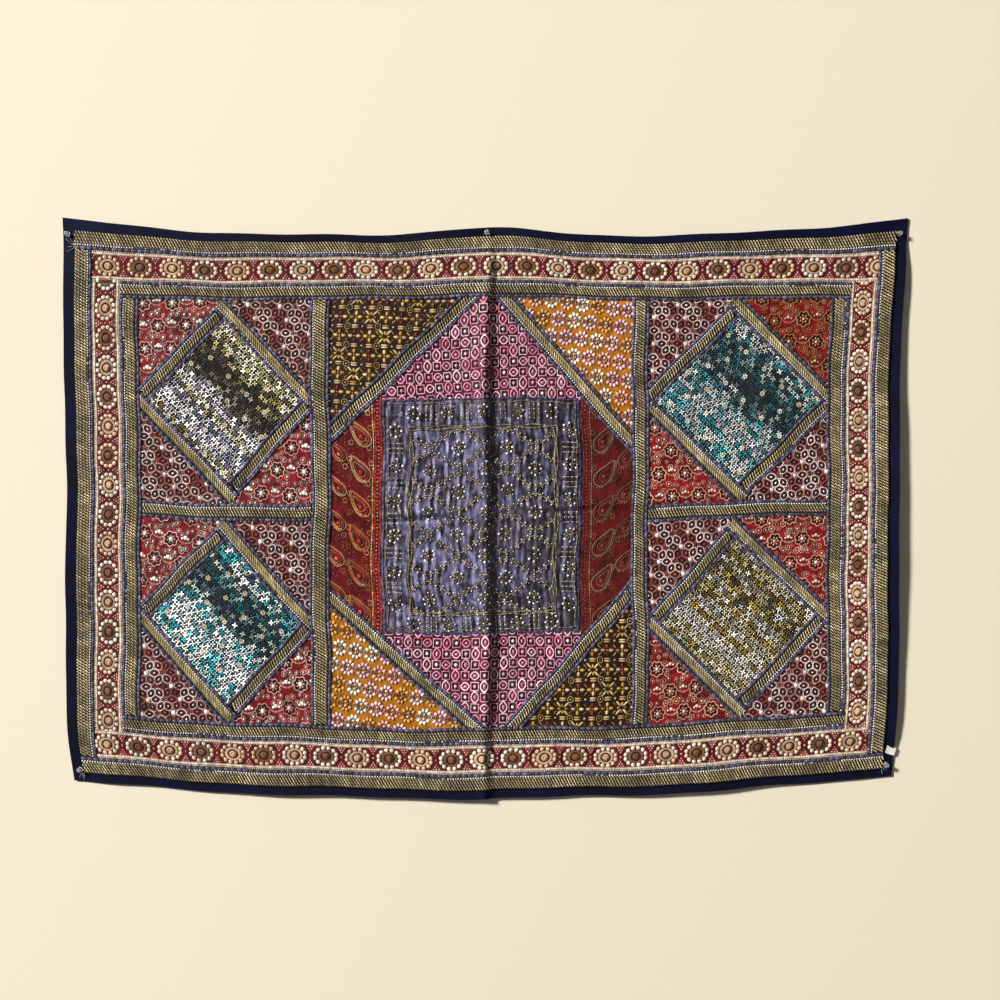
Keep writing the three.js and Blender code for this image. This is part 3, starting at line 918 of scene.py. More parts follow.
def beadwork(bands, rosettes, glow):
    """Dense bead flowers in slanting stripes; bands are (share across, bead colours), and glow is
    painted light that brightens all the beads
    """

    def sew(work, outline):
        rng = np.random.default_rng(int(abs(outline.sum())) + 23)
        right, top, left, bottom = outline
        lower, upper = np.array([left, bottom]), np.array([right, top])
        turn = math.atan2(*(bottom - left)[::-1])

        def colours(points, spread):
            shares = share_across(points, lower, upper) + rng.normal(0, 0.015, len(points))
            chosen = np.zeros((len(points), 3))
            for low, palette in bands:
                here = shares >= low
                chosen[here] = pick(rng, palette, here.sum(), spread)
            return chosen

        centres = lattice(outline, (10.2, 8.9), turn, 0.5, 5)[0]
        centres = centres + rng.normal(0, 0.4, centres.shape)
        # Painted light: glow brightens the beads, and each flower is picked darker or brighter at
        # random as painted glints of the glass
        shade = colours(centres, 0.15) * rng.choice([0.7, 1.1, 1.5], (len(centres), 1),
                                                    p=[0.1, 0.4, 0.5]) * glow
        size = rng.uniform(0.88, 1.12, (len(centres), 1)) * np.array([2.8, 1.45, 2.2])
        spin = turn + math.pi / 4 + rng.normal(0, 0.16, len(centres))
        work.around(BEAD, centres, (3.0, 3.0), 4, np.repeat(size, 4, axis=0), shade, spin,
                    finish=GLASS)
        work.stamp(BEAD, centres, (1.2, 1.2, 2.3), shade * 0.6, turn, GLASS)
        gaps = centres + spun((5.3, 0.2), turn)
        work.stamp(BEAD, gaps, (1.5, 1.1, 1.6), colours(gaps, 0.3) * 0.6, turn + 0.8, GLASS)
        flowers = lattice(outline, (46.0, 33.0), turn, 0.37, 2, (4, 3))[0]
        flowers = flowers[:round(len(flowers) * rosettes)] + rng.normal(0, 3.0, (1, 2))
        work.stamp(BROAD_RING, flowers, (5.0, 5.0, 2.0), linear("0c0a08"))
        cream = pick(rng, tones("fff4d8 f4e4bc fffaf0 ecdcb8"), len(flowers), 0.1) * 1.2
        work.around(BEAD, flowers, (3.6, 3.6), 6, (2.5, 2.0, 2.3), cream, 0.3, finish=GLASS)
        work.stamp(BEAD, flowers, (2.0, 2.0, 2.9), cream * 0.55, finish=GLASS)

    return sew


def stripes(codes_from):
    """Stripes of beadwork: where each one starts and its bead colours"""
    return [(low, tones(codes)) for low, codes in codes_from.items()]


WHITE_BANDS = stripes({
    -1.0: "8a7a4c c8bfa0 f4eede 6c5e34",
    0.05: "ffffff e8e8f4 ffffff b0b0c8 f4f4fa 7c7c94",
    0.2: "c8c8dc ffffff 9494ac dcdcec 6c6c80",
    0.3: "f8f8ec d4ceb0 a09870 e8e4cc 5a5238",
    0.38: "ffffff e8e8f4 c4c4d4 fffff4 80808c",
    0.48: "4c4a44 8c887c 252520 b4ac94 3c3428",
    0.58: "24221e 5c5648 1a1a18 9c9070 3c382c",
    0.7: "2c2a24 6c6440 14120e 8c8050 443c28 c8bc90",
    0.83: "e8e4d4 a89c60 fffcec 5c5228 d0ccb8",
    0.93: "fffcf0 e0dcc4 fff8e8 9c9068",
})
TEAL_BANDS = stripes({
    -1.0: "dfe8e8 7ad0d8 2a8c98 f2f4f0",
    0.08: "ffffff 8ce4ec e4f8fa 24a4b4 ffffff",
    0.22: "dcecf4 ffffff 9cb8c8 5c94a8 f4fafa",
    0.36: "ffffff 4cc4cc cff0f2 14848f e8f4f4",
    0.46: "5a8c94 b8c8c4 24505c ffffff 12303e",
    0.55: "1a2c34 4c6c74 10181c 94a4a0 0c2028",
    0.66: "0c5c68 10242c 3c7c84 1c3c48 8ca49c",
    0.78: "30444c 8cb4b8 14707c d4dcd4 141c24",
    0.88: "e8f0f0 2cacb8 ffffff 7ca4a8 1c3c5c",
})
GOLD_BANDS = stripes({
    -1.0: "c8b460 fff4cc 8c7828 f4ecd0",
    0.06: "fffcf0 dcc468 d8c898 f8f0dc fffae4",
    0.16: "ffffff f0ece0 fff8ec fffcf4 ffffff",
    0.28: "e8d080 ffffff b89c3c a08828 fff6dc",
    0.36: "ffffff e4dcc8 a8a498 fffaf0 d0c494",
    0.46: "c8a834 8c7424 f0e8d0 f0e0a8 e4cc70",
    0.54: "ffffff d8d4c8 7c7a70 fcf8ec ac9c64",
    0.64: "d0b858 5c4c1c a48c40 fff4d4 8c7428",
    0.73: "f4eee0 8c8878 ffffff c8b470 5c5030",
    0.83: "b89c40 ece0b4 6c5c24 fff8e4 8c7830",
    0.92: "fffcf4 d8c88c 7c7038 e8e0c8",
})


def brown_flowers(work, outline):
    """Four-petal flowers and crosses in rows, between rows of dashes and rings"""
    motifs = Motifs(work, outline, 31, (-0.05, 0.03), (27.5, 34.5), 0, 24, 9)
    stamp, around = motifs.stamp, motifs.around
    cream = tones("f8dc98 f0c868 fce8b4 f0c89c") * 0.85
    gold = tones("c89a24 dcb03c 9c7418 e8bc50") * 0.85
    red = tones("7c1c18 9c3424 5c1410")
    kind = (motifs.column + motifs.row) % 4
    specks(work, outline, motifs.rng, tones("4c2410 0c0503 6c3c14 1c0a06"), 5.0)
    for flower, first, second in ((0, cream, gold), (2, gold, cream), (3, red, cream)):
        which = kind == flower
        for side in (-1, 1):
            stamp(BEAD, (3.5, 5.2, 1.9), first, (0, side * 7.0), which)
            stamp(BEAD, (5.3, 3.4, 1.9), second, (side * 7.4, 0), which)
        around(BEAD, (5.8, 5.8), 4, (2.6, 1.5, 1.3), red, which, math.pi / 4)
        stamp(BEAD, (1.6, 1.6, 1.7), cream, which=which)
    crossed = kind == 1
    around(STRAND, (9.5, 10.5), 4, (7.0, 2.4, 1.8), cream, crossed, math.pi / 4)
    for side in (-1, 1):
        stamp(BEAD, (2.8, 4.0, 1.7), gold, (0, side * 6.4), crossed)
        stamp(BEAD, (3.4, 2.8, 1.7), gold, (side * 6.8, 0), crossed)
    low = -17.2
    for side in (-1, 1):
        stamp(STRAND, (6.8, 2.0, 1.7), cream, (0, low + side * 1.9))
    ringed = (motifs.column + 2 * motifs.row) % 2 == 0
    stamp(RING, (5.2, 5.4, 1.8), cream, (13.7, low), ringed)
    stamp(BEAD, (2.0, 2.0, 1.4), gold, (13.7, low), ringed)
    stamp(BEAD, (2.6, 2.4, 1.6), cream, (13.7, low), ~ringed)
    for side in (-1, 1):
        stamp(STRAND, (5.0, 1.2, 1.3), gold, (13.7, low + side * 10.5), facing=side * 0.8)


def orange_flowers(work, outline):
    """Round flowers: a centre between two fans of petals and two small rings"""
    motifs = Motifs(work, outline, 41, (-0.16, -0.08), (28.8, 32.0), 0.37, 24, 9)
    stamp, number = motifs.stamp, len(motifs.centres)
    families = tones("fcd0d4 fff0dc ecbcd0 d8a058 fcb8a0 fff8e8 f8c0c8") * 1.1
    family = pick(motifs.rng, families, number, 0.06)
    specks(work, outline, motifs.rng, tones("e09c34 8c4c08 f0b458 6c3404 c87818"), 5.0,
           (2.6, 0.7, 0.7))
    # Painted shadow: a brown ring under each flower, darker than the satin round it
    stamp(BROAD_RING, (10.4, 11.4, 0.5), linear("6c340c"))
    for side in (-1, 1):
        for angle in (-0.96, -0.32, 0.32, 0.96):
            angle += side * math.pi / 2
            tint = family * (0.85 + 0.3 * motifs.rng.random((number, 1)))
            stamp(BEAD, (4.6, 3.5, 2.1), tint, (10.3 * math.cos(angle), 11.3 * math.sin(angle)),
                  facing=angle, boost=1.2, spread=None)
        stamp(RING, (3.4, 3.4, 1.8), family, (side * 11.2, 0), boost=1.25, spread=None)
        stamp(BEAD, (1.2, 1.2, 1.3), family, (side * 11.2, 0), boost=0.5, spread=None)
        stamp(BEAD, (2.5, 2.6, 2.1), families, (0, side * 3.6), boost=1.1)
    stamp(FINE_RING, (5.4, 7.4, 1.3), linear("4c1c18"))
    stamp(RING, (4.2, 6.0, 1.4), family, boost=0.75, spread=None)
    stamp(TUFT, (2.4, 3.6, 0.8), linear("e8942c"), (14.4, 10.5), facing=0.3)
    stamp(TUFT, (1.6, 3.0, 0.8), linear("f0b050"), (-4, 16.5), facing=-0.5)


def pink_checks(work, outline):
    """A chequer of framed buttons and of lenses that stand and lie by turns"""
    motifs = Motifs(work, outline, 53, (-0.05, 0.05), (17.3, 19.6), 0, 16, 6)
    stamp, column, row = motifs.stamp, motifs.column, motifs.row
    rose = tones("fcc4d6 f4a8c4 ffdee8 e890b0 f8cedc") * 1.15
    blush, berry = tones("f8e0e0 f0b4bc fbeeee e890a4"), tones("dc7c98 e89cb0 c86484")
    specks(work, outline, motifs.rng, tones("e87c9c 34061c f8b4c4 1c0210 a03058"), 4.2)
    buttons = (column + row) % 2 == 1
    stamp(FRAME, (7.8, 8.6, 1.9), rose, which=buttons)
    stamp(THIN_RING, (4.8, 5.2, 1.3), linear("30081c"), which=buttons)
    stamp(ROUND_BEAD, (3.3, 3.6, 2.0), blush, which=buttons, finish=GLASS)
    motifs.around(BEAD, (9.4, 10.0), 4, (2.2, 1.0, 1.1), rose, buttons, math.pi / 4)
    lying = ~buttons & ((column - row) // 2 % 2 == 0)
    standing = ~buttons & ~lying
    for which, across, up, facing in ((lying, 6.9, 5.6, 0.0), (standing, 9.4, 5.4, math.pi / 2)):
        lens = {"which": which, "facing": facing}
        stamp(BEAD, (across * 0.62, up * 0.6, 1.1), berry, **lens)
        stamp(PETAL, (across * 1.12, up * 1.28, 2.2), rose, boost=1.25, **lens)
        stamp(BEAD, (across * 0.3, up * 0.26, 1.9), rose, **lens)


def paisleys(mirror):
    """Leaning paisleys outlined in gold, beside an upright stripe; mirror faces them the other way and
    darkens them with painted shade
    """
    inner_edge = PANEL[0] if mirror > 0 else PANEL[1]
    # Painted shade: the stitches of the right paisleys are darkened
    shade = 1.0 if mirror > 0 else 0.36
    drop = PAISLEY if mirror > 0 else flipped(PAISLEY)
    lean = mirror * 0.86

    def upright(aside, levels):
        """Points at some levels, all one distance out from the panel"""
        return np.stack([np.full(len(levels), inner_edge - mirror * aside), levels], axis=-1)

    def sew(work, outline):
        rng = np.random.default_rng(61 if mirror > 0 else 67)
        gold = tones("fcd898 ecb068 fce4b4 cc9050") * shade
        red = tones("e44838 c42828 f47058 c83040") * shade
        ends = np.array([outline[:, 1].min() - 20, outline[:, 1].max() + 20])
        levels = np.arange(*ends, 62.0)
        for aside, shift, reach in ((46, 0.0, 27.0), (86, 31.0, 27.0 * 0.8)):
            centres = upright(aside, levels + shift)
            for grow, palette, height in ((1.0, gold, 1.7), (0.8, red, 1.3), (0.58, gold, 1.1),
                                          (0.34, red, 1.2)):
                work.stamp(drop, centres, (reach * grow, reach * grow, height),
                           pick(rng, palette, len(centres)), lean)
            for centre in centres:
                edge = centre + spun(paisley_curve(26) * (mirror, 1) * reach, lean)
                work.along(BEAD, edge[13:], 3.6, (2.6, 1.0, 1.2), gold, math.pi / 2, 2.6, rng=rng)
                work.along(BEAD, edge[:14], 3.0, (1.1, 1.0, 1.0), red, aside=-2.4, rng=rng)
            work.stamp(ROUND_BEAD, centres + spun((0, -6.0), lean), (3.4, 4.4, 1.3),
                       pick(rng, red, len(centres)), lean)
        for aside, up in ((24, 12), (27, 38), (62, 20), (70, 6), (60, 48)):
            spots = upright(aside, levels + up)
            work.stamp(RING, spots, (3.9, 4.3, 1.4), pick(rng, gold, len(spots)), 0.3)
            work.stamp(BEAD, spots, (1.2, 1.2, 1.2), pick(rng, red, len(spots)), 0.3)
        for aside, palette, width in ((19, gold, 1.3), (16, red, 0.8), (4, red, 0.9)):
            work.along(STRAND, upright(aside, ends), 5.5, (3.4, width, 1.3), palette, 0.05, rng=rng)
        band = upright(10, ends)
        work.along(LENS, band, 13.5, (5.4, 3.6, 1.2), red * 1.2, math.pi / 2, rng=rng)
        work.along(BEAD, band, 6.75, (1.6, 1.6, 1.2), gold * 0.7, rng=rng)
        for side in (-4.2, 4.2):
            work.along(BEAD, band, 4.0, (1.7, 0.8, 1.0), red, 0.7, side, rng=rng)
        ground = lattice(outline, (7.5, 7.5), 0.4, 0.5, 2)[0]
        ground = ground + rng.normal(0, 1.2, ground.shape)
        specks(work, outline, rng, tones("e05048 2c0406 f89078 180203 98141c") * shade, 4.6)
        work.stamp(TUFT, ground, (1.5, 0.9, 0.8), pick(rng, red, len(ground)) * 0.7,
                   rng.uniform(0, 3, len(ground)))

    return sew


def flipped(shape):
    """A shape seen in a mirror, with its faces still outwards"""
    points = shape.points * np.array([-1, 1, 1])
    faces = [tuple(reversed(face)) for face in (*shape.triangles.tolist(), *shape.quads.tolist())]
    return Shape(points, faces)


def past_fold(across):
    """Where the panel's pattern comes, as the fold in the middle takes some of it up"""
    return across - 17 * np.clip((across + 4) / 34, 0, 1)


CORD = tones("b8a890 ccbca4 9c8c78 e0d2bc 84745c")
DARK = tones("2c2422 3c3026 1c1614 4c3c2c")
SILVER = tones("ffffff f4f0ea e4dcd0 ffffff c8bca8")


def rope(work, rng, path, wide=1.4):
    """A laid cord with a line of dark beads along each side as painted shadow"""
    work.along(STRAND, path, 3.4, (2.4, wide * 0.85, wide + 0.8), CORD, 0.4, rng=rng)
    for side in (-1, 1):
        # Painted shadow: dark beads along both sides of the cord
        work.along(BEAD, path, 3.4, (1.9, 1.0, 0.9), DARK, -0.5, side * wide * 1.5, rng=rng)


def rope_frame(work, rng, outline, wave, wide):
    """A rope that waves a little round an outline"""
    for a, b in edges_of(outline):
        length = np.linalg.norm(b - a)
        steps = np.linspace(0, 1, 80)[:, None]
        across = np.array([-(b - a)[1], (b - a)[0]]) / length
        rope(work, rng, a + (b - a) * steps + across * np.sin(steps * length / 9) * wave, wide)


def bead_stars(work, rng, centres, size):
    """Eight short cords round a bead, with a bead at each tip, some of them lost"""
    number = len(centres)
    turn = rng.uniform(-0.2, 0.2, number)
    radii, reach = (size * 0.55, size * 0.6), size * 0.42
    work.around(STRAND, centres, radii, 8, (reach, 1.9, 1.3), pick(rng, DARK, number) * 0.7, turn)
    work.around(STRAND, centres, radii, 8, (reach, 0.5, 1.2), pick(rng, CORD, number), turn,
                math.pi / 8)
    for k in range(8):
        tips = centres + spun((size * 1.04, 0), k * math.pi / 4) + rng.normal(0, 0.8, centres.shape)
        tips = tips[rng.random(number) > 0.15]
        work.stamp(BEAD, tips, rng.uniform(1.7, 2.9, (len(tips), 1)) * [1, 1, 1.1],
                   pick(rng, SILVER, len(tips)) * 1.3, finish=GLASS)
    work.stamp(BEAD, centres, (1.9, 1.9, 2.4), pick(rng, SILVER, number), finish=GLASS)


def waving_cords(work, rng, inner):
    """Cords that wave across the panel, and stars in the cells between them"""
    middle, period, gap, swing, top = -52.0, 105.0, 37.6, 13.0, 132
    across = np.linspace(-150, 160, 130)
    for k in range(9):
        way = (-1) ** k
        wave = way * swing * np.cos((across - middle) / period * 2 * math.pi)
        path = np.stack([past_fold(across), top - gap * k + wave], axis=-1)
        path = path[depth_inside(path, inner) > 3]
        if len(path) < 4:
            continue
        rope(work, rng, path)
        for aside in (-3.6, 3.6):
            work.along(BEAD, path, 11.5, (1.9, 1.9, 2.2), SILVER, aside=aside, finish=GLASS, rng=rng)
        work.along(BEAD, path, 6.0, (1.3, 1.3, 1.2), DARK, aside=4.2 * way, rng=rng)
    cells = np.array([
        (past_fold(middle + column * period / 2), top - gap * (2 * row + (1.5 if column % 2 else 0.5)))
        for column in range(-1, 5) for row in range(-1, 6)])
    bead_stars(work, rng, cells[depth_inside(cells, inner) > 14], 10.5)


def star_border(work, rng, border):
    """Stars along the panel's edge, with bars of cord between them"""
    for a, b in edges_of(border):
        length = np.linalg.norm(b - a)
        number = round(length / 63)
        shares = (np.arange(number) + 0.5) / number
        bead_stars(work, rng, a + np.multiply.outer(shares, b - a), 11.0)
        away = np.array([-(b - a)[1], (b - a)[0]]) / length
        for share in np.arange(1, number) / number:
            for k in (-2, -1, 0, 1, 2):
                spot = a + (b - a) * share + (b - a) / length * k * 4.4
                ends = np.array([spot - away * 15, spot + away * 15])
                work.along(STRAND, ends, 5.0, (2.5, 0.9, 1.2), DARK if k % 2 else CORD, rng=rng)
                if k % 2 == 0:
                    work.along(BEAD, ends, 7.5, (1.5, 1.5, 2.0), SILVER, finish=GLASS, rng=rng)


def couched_panel(work, outline):
    """Rope frames, waving cords, and bead stars in the cells between them, on crinkled satin"""
    rng = np.random.default_rng(71)
    violet = tones("4c4468 5c5478 3c3458")
    for edge in edges_of(shrunk(outline, 1.8)):
        work.along(PIPING, edge, 10.5, (5.4, 2.0, 1.9), violet, rng=rng)
    inner = rectangle(-140, 129, -178, 152)
    for frame_line, wave, wide in ((shrunk(outline, 8), 1.2, 0.9), (inner, 1.3, 1.2),
                                   (shrunk(inner, 4.4), -1.3, 1.2)):
        rope_frame(work, rng, frame_line, wave, wide)
    waving_cords(work, rng, inner)
    star_border(work, rng, rectangle(-166, 153, -194, 176))


# --- Trimming: gold plait between two pipings, with rows of white stitches ---

TAPE, GOLD, VIOLET, WHITE = range(4)
TRIM_FINISHES = [EMBROIDERY, GOLD_THREAD, PIPING_SATIN, WHITE_COTTON]
GOLDS = tones("a89a76 948662 c4b794 80744f 8c7e5c d0c4a6 6c6044")
OLIVE = linear("16120b")
VIOLETS = tones("46426c 524e78 322e54 666290 2a264a 4a466c 1f1c38")
PIPING_WIDTH = 7.0
LEVEL_STROKE, UPRIGHT_STROKE, SLANT_STROKE = -0.88, 2.36, 1.78  # the way the gold strands lie
NO_PIPING = 1.0


def trim_strip(work, start, end, width, stroke, seed, lift=0.0, pipings=(1, 1), dots=(1, 1)):
    """One straight run of trimming along the middle line; pipings and dots go by side, right first"""
    rng = np.random.default_rng(seed)
    start, length, ahead, aside, facing = run_of(start, end)
    half = width / 2
    add_tape(work, start, ahead, aside, length, half - 0.6, lift)
    low = -half + (PIPING_WIDTH + 1.0 if pipings[0] else NO_PIPING)
    high = half - (PIPING_WIDTH + 1.0 if pipings[1] else NO_PIPING)
    low += 1.4 * dots[0]
    high -= 1.4 * dots[1]
    rows = round((high - low) / 5.6)
    row_height = (high - low) / rows
    pitch = 5.4
    number = int(length / pitch)
    along = (np.arange(number) + 0.5) * length / number
    tint = GOLDS[rng.integers(0, len(GOLDS), number)]
    glow = 1.05 + 0.22 * np.sin(along / 47 + seed) + 0.16 * np.sin(along / 13.3 + 2 * seed)
    lean = stroke - facing
    span = row_height * 0.5 / abs(math.sin(lean)) * 1.25
    for row in range(rows):
        step = pitch * 0.5 * (row % 2)
        middle = low + (row + 0.5) * row_height
        centres = start + np.multiply.outer(along + step, ahead) + aside * middle
        colours = (tint * 0.4 + GOLDS[0] * 0.6) * (glow * rng.uniform(0.8, 1.2, number))[:, None]
        work.stamp(STRAND, centres, (span, 1.35, 2.1), colours * 1.7, stroke, GOLD, 0.75 + lift)
    for side, (piped, dotted) in zip((-1, 1), zip(pipings, dots)):
        if piped:
            work.along(PIPING, np.array([start, end]), 11.4, (5.95, 3.3, 3.0), VIOLETS, 0,
                       side * (half - 3.4), VIOLET, 0.2 + lift, rng)
        if dotted:
            stitches = int(length / 4.7)
            spots = (np.arange(stitches) + 0.5) * length / stitches
            seen = np.sin(spots / 61 + seed * 1.7) + 0.7 * np.sin(spots / 23 + seed) > -1.0
            seen |= rng.random(stitches) < 0.3
            inset = PIPING_WIDTH + 0.9 if piped else 2.0
            centres = start + np.multiply.outer(spots[seen], ahead) + aside * side * (half - inset)
            whites = pick(rng, WHITES, seen.sum(), 0.06) * 1.25
            work.stamp(BEAD, centres, (1.9, 1.75, 2.0), whites, facing, WHITE, 1.7 + lift)
            plain = start + np.multiply.outer(spots[~seen], ahead) + aside * side * (half - inset)
            dulled = pick(rng, VIOLETS * 0.8, len(plain))
            work.stamp(STRAND, plain, (3.0, 1.7, 1.6), dulled, facing, VIOLET, 1.0 + lift)


def add_tape(work, start, ahead, aside, length, half, lift):
    """The dark tape that the strands are sewn to"""
    steps = max(2, int(length / 5))
    along = np.linspace(0, length, steps + 1)
    front, back = TAPE_FRONT + lift, 1.5
    section = [(-half, back), (-half, front), (-half / 2, front), (0, front), (half / 2, front),
               (half, front), (half, back)]
    rows = len(section)
    points = np.concatenate([
        np.c_[start + np.multiply.outer(along, ahead) + aside * across, np.full(steps + 1, height)]
        for across, height in section])
    quads = []
    for k in range(rows):
        low, high = k * (steps + 1), ((k + 1) % rows) * (steps + 1)
        quads += [(low + j, low + j + 1, high + j + 1, high + j) for j in range(steps)]
    for at, way in ((0, 1), (steps, -1)):
        for face in ((0, 1, 2, 3), (0, 3, 5, 6)):
            quads.append(tuple(k * (steps + 1) + at for k in face[::way]))
    work.add(points, np.tile(OLIVE, (len(points), 1)), np.zeros((0, 3), int), np.array(quads), TAPE)


def fray(work, corner, ways, seed):
    """A few loose ends of thread that stick out where a braid's ends meet"""
    rng = np.random.default_rng(seed)
    shares = np.linspace(0, 1, 12)
    for way in np.radians(ways):
        reach = rng.uniform(9, 17)
        bend = rng.normal(0, 0.35)
        path = np.array(corner) + spun(np.stack([shares * reach, bend * reach * shares**2], axis=-1),
                                       way)
        work.along(STRAND, path, 1.6, (1.3, 0.45, 0.7), tones("c8c0b4 8c8494 e0d8cc"), lift=-0.2,
                   rng=rng)


def trimming(node, strips, outline=None, reach=0.5, ends=()):
    """A braid's strips as one piece; each is (start, end, width, stroke, lift, pipings, dots)"""
    work = Needlework(STITCH_BASE, PUCKERS)
    for k, (start, end, width, stroke, lift, pipings, dots) in enumerate(strips):
        seed = sum(map(ord, node)) % 97 + 3 * k + 1
        trim_strip(work, start, end, width, stroke, seed, lift, pipings, dots)
    for corner, ways, seed in ends:
        fray(work, corner, ways, seed)
    piece = work.make(f"{node}_trim", TRIM_FINISHES, outline, reach)
    attach(piece, node)
    return piece


def ring_strips(outer, inner, out):
    """The four runs of a ring of trimming, the level ones running full width; out is 1 where the
    ring is piped on its outside too"""
    left, right, bottom, top = outer
    in_left, in_right, in_bottom, in_top = inner
    high, low = (top + in_top) / 2, (bottom + in_bottom) / 2
    west, east = (left + in_left) / 2, (right + in_right) / 2
    level = (top - in_top, LEVEL_STROKE, 0.5)
    first = ((1, out), (1 - out, out))
    second = ((out, 1), first[1][::-1])
    return [
        ((left, high), (right, high), *level, *first),
        ((left, low), (right, low), *level, *second),
        ((west, in_bottom), (west, in_top), in_left - left, UPRIGHT_STROKE, 0.0, *first),
        ((east, in_bottom), (east, in_top), right - in_right, UPRIGHT_STROKE, 0.0, *second),
    ]


# --- Putting the cloth together ---

def make_backing():
    outline = rectangle(-HALF_WIDTH, HALF_WIDTH, -HALF_HEIGHT, HALF_HEIGHT)
    piece = cloth("backing_cloth", outline, 12.0, BACKING_FRONT, BACKING_FRONT, NAVY)
    attach(piece, "backing")
    return piece


def make_trimmings():
    """The two rings of braid, with loose threads at three corners, and the dividers"""
    left, right, low = NAVY_EDGE[0] + 2, NAVY_EDGE[1] - 2, NAVY_EDGE[2]
    loose_ends = [
        ((left, BROCADE_OUTER[3] + 7), (120, 145, 165, 184, 205, 236), 5),
        ((left, low + 3), (196, 214, 243, 262), 6),
        ((right, low + 4), (-24, -51, -78), 7),
    ]
    pieces = [
        trimming("braid_outer", ring_strips(NAVY_EDGE, BROCADE_OUTER, 0), ends=loose_ends),
        trimming("braid_inner", ring_strips(BROCADE_INNER, INNER, 1)),
    ]
    for side, middle in (("left", (LEFT_END + CENTRE[0]) / 2), ("right", (RIGHT_END + CENTRE[1]) / 2)):
        width = {"left": LEFT, "right": RIGHT}[side]["divider"]
        strip = ((middle, INNER[2]), (middle, INNER[3]), width, UPRIGHT_STROKE, 0.0, (1, 1), (0, 1))
        pieces.append(trimming(f"divider_{side}", [strip]))
    level, height = (MID_LOW + MID_HIGH) / 2, MID_HIGH - MID_LOW
    for side, start, end in (("left", INNER[0], LEFT_END), ("right", RIGHT_END, INNER[1])):
        strip = ((start, level), (end, level), height, LEVEL_STROKE, 0.0, (1, 1), (0, 1))
        pieces.append(trimming(f"divider_{side}_middle", [strip]))
    return pieces


def make_border():
    """The brocade strips, each with its medallions' spacing and the place of the first"""
    left, right, bottom, top = BROCADE_OUTER
    in_left, in_right, in_bottom, in_top = BROCADE_INNER
    for k, (name, outline, period, phase) in enumerate((
        ("top", rectangle(left, right, in_top, top), 58.0, 28.0),
        ("bottom", rectangle(left, right, bottom, in_bottom), 57.0, 20.0),
        ("left", rectangle(left, in_left, in_bottom, in_top), 54.0, 18.0),
        ("right", rectangle(in_right, right, in_bottom, in_top), 54.0, 30.0),
    )):
        low, high = outline.min(axis=0), outline.max(axis=0)
        middle, size = (low + high) / 2, high - low
        start, end = ((middle[0], low[1]), (middle[0], high[1])) if size[1] > size[0] else (
            (low[0], middle[1]), (high[0], middle[1]))

        def sew(work, sewn, run=(start, end, min(size) / 2, period, phase), k=k):
            rng = np.random.default_rng(80 + k)
            specks(work, sewn, rng, tones("c04848 d88068 8c1c24 2c060c 180406"), 4.4)
            brocade_strip(work, *run, rng)

        patch(f"brocade_{name}", outline, "brocade", sew)


def make_square(name, area, slot, bands):
    """A beaded diamond in its braid, with a patch in each corner of the square"""
    half_width, half_height = DIAMONDS[name]
    x, y = (area.min(axis=0) + area.max(axis=0)) / 2
    diamond = np.array([(x + half_width, y), (x, y + half_height), (x - half_width, y),
                        (x, y - half_height)])
    on_left = name.startswith("left")
    rosettes = 0.0 if slot == "gold_beadwork" else 1.0
    # The squares on the left get brighter beads, painted light from the side the light comes from
    patch(f"{name}_diamond", diamond, slot, beadwork(bands, rosettes, 1.8 if on_left else 1.0))
    strips = []
    for k, edge in enumerate(edges_of(diamond)):
        a, b = moved(edge, -SLANT_BRAID / 2)
        over = 1 - k % 2  # the runs that pass over the ends of the others
        past = (b - a) / np.linalg.norm(b - a) * (SLANT_BRAID + 2) * over
        strips.append((a - past, b + past, SLANT_BRAID, SLANT_STROKE, 0.9 * over, (1, 1),
                       (1 - over, over)))
    trimming(f"{name}_diamond_braid", strips, area)
    floral = ("upper_left", "lower_right") if on_left else ("upper_right", "lower_left")
    outer = shrunk(diamond, -SLANT_BRAID)
    for edge, corner in zip(edges_of(outer), ("upper_right", "upper_left", "lower_left",
                                              "lower_right")):
        mood = "white" if on_left else "red"
        if (name, corner) == ("right_upper", "upper_right"):
            mood = "gold"
        corner_slot, sew = ("red_floral", red_flowers(mood)) if corner in floral else (
            "ring_lattice", ring_rows)
        patch(f"{name}_{corner}", cut(area, edge[::-1]), corner_slot, sew)


def make_squares():
    """Two squares on each side of the centre"""
    left, right = (INNER[0], LEFT_END), (RIGHT_END, INNER[1])
    upper, lower = (MID_HIGH, INNER[3]), (INNER[2], MID_LOW)
    for name, across, up, slot, bands in (
        ("left_upper", left, upper, "white_beadwork", WHITE_BANDS),
        ("left_lower", left, lower, "teal_beadwork", TEAL_BANDS),
        ("right_upper", right, upper, "teal_beadwork", TEAL_BANDS),
        ("right_lower", right, lower, "gold_beadwork", GOLD_BANDS),
    ):
        make_square(name, rectangle(*across, *up), slot, bands)


def slant_line(corner):
    """The middle line of a slanted braid, with the middle of the cloth on its left"""
    row, column = corner.split("_")
    on_divider, on_braid = SLANTS[corner]
    at_divider = (CENTRE[0] if column == "left" else CENTRE[1], on_divider)
    at_braid = (on_braid, CENTRE[3] if row == "upper" else CENTRE[2])
    line = np.array([at_divider, at_braid], float)
    return line if side_of(line, (0, 0)) > 0 else line[::-1]


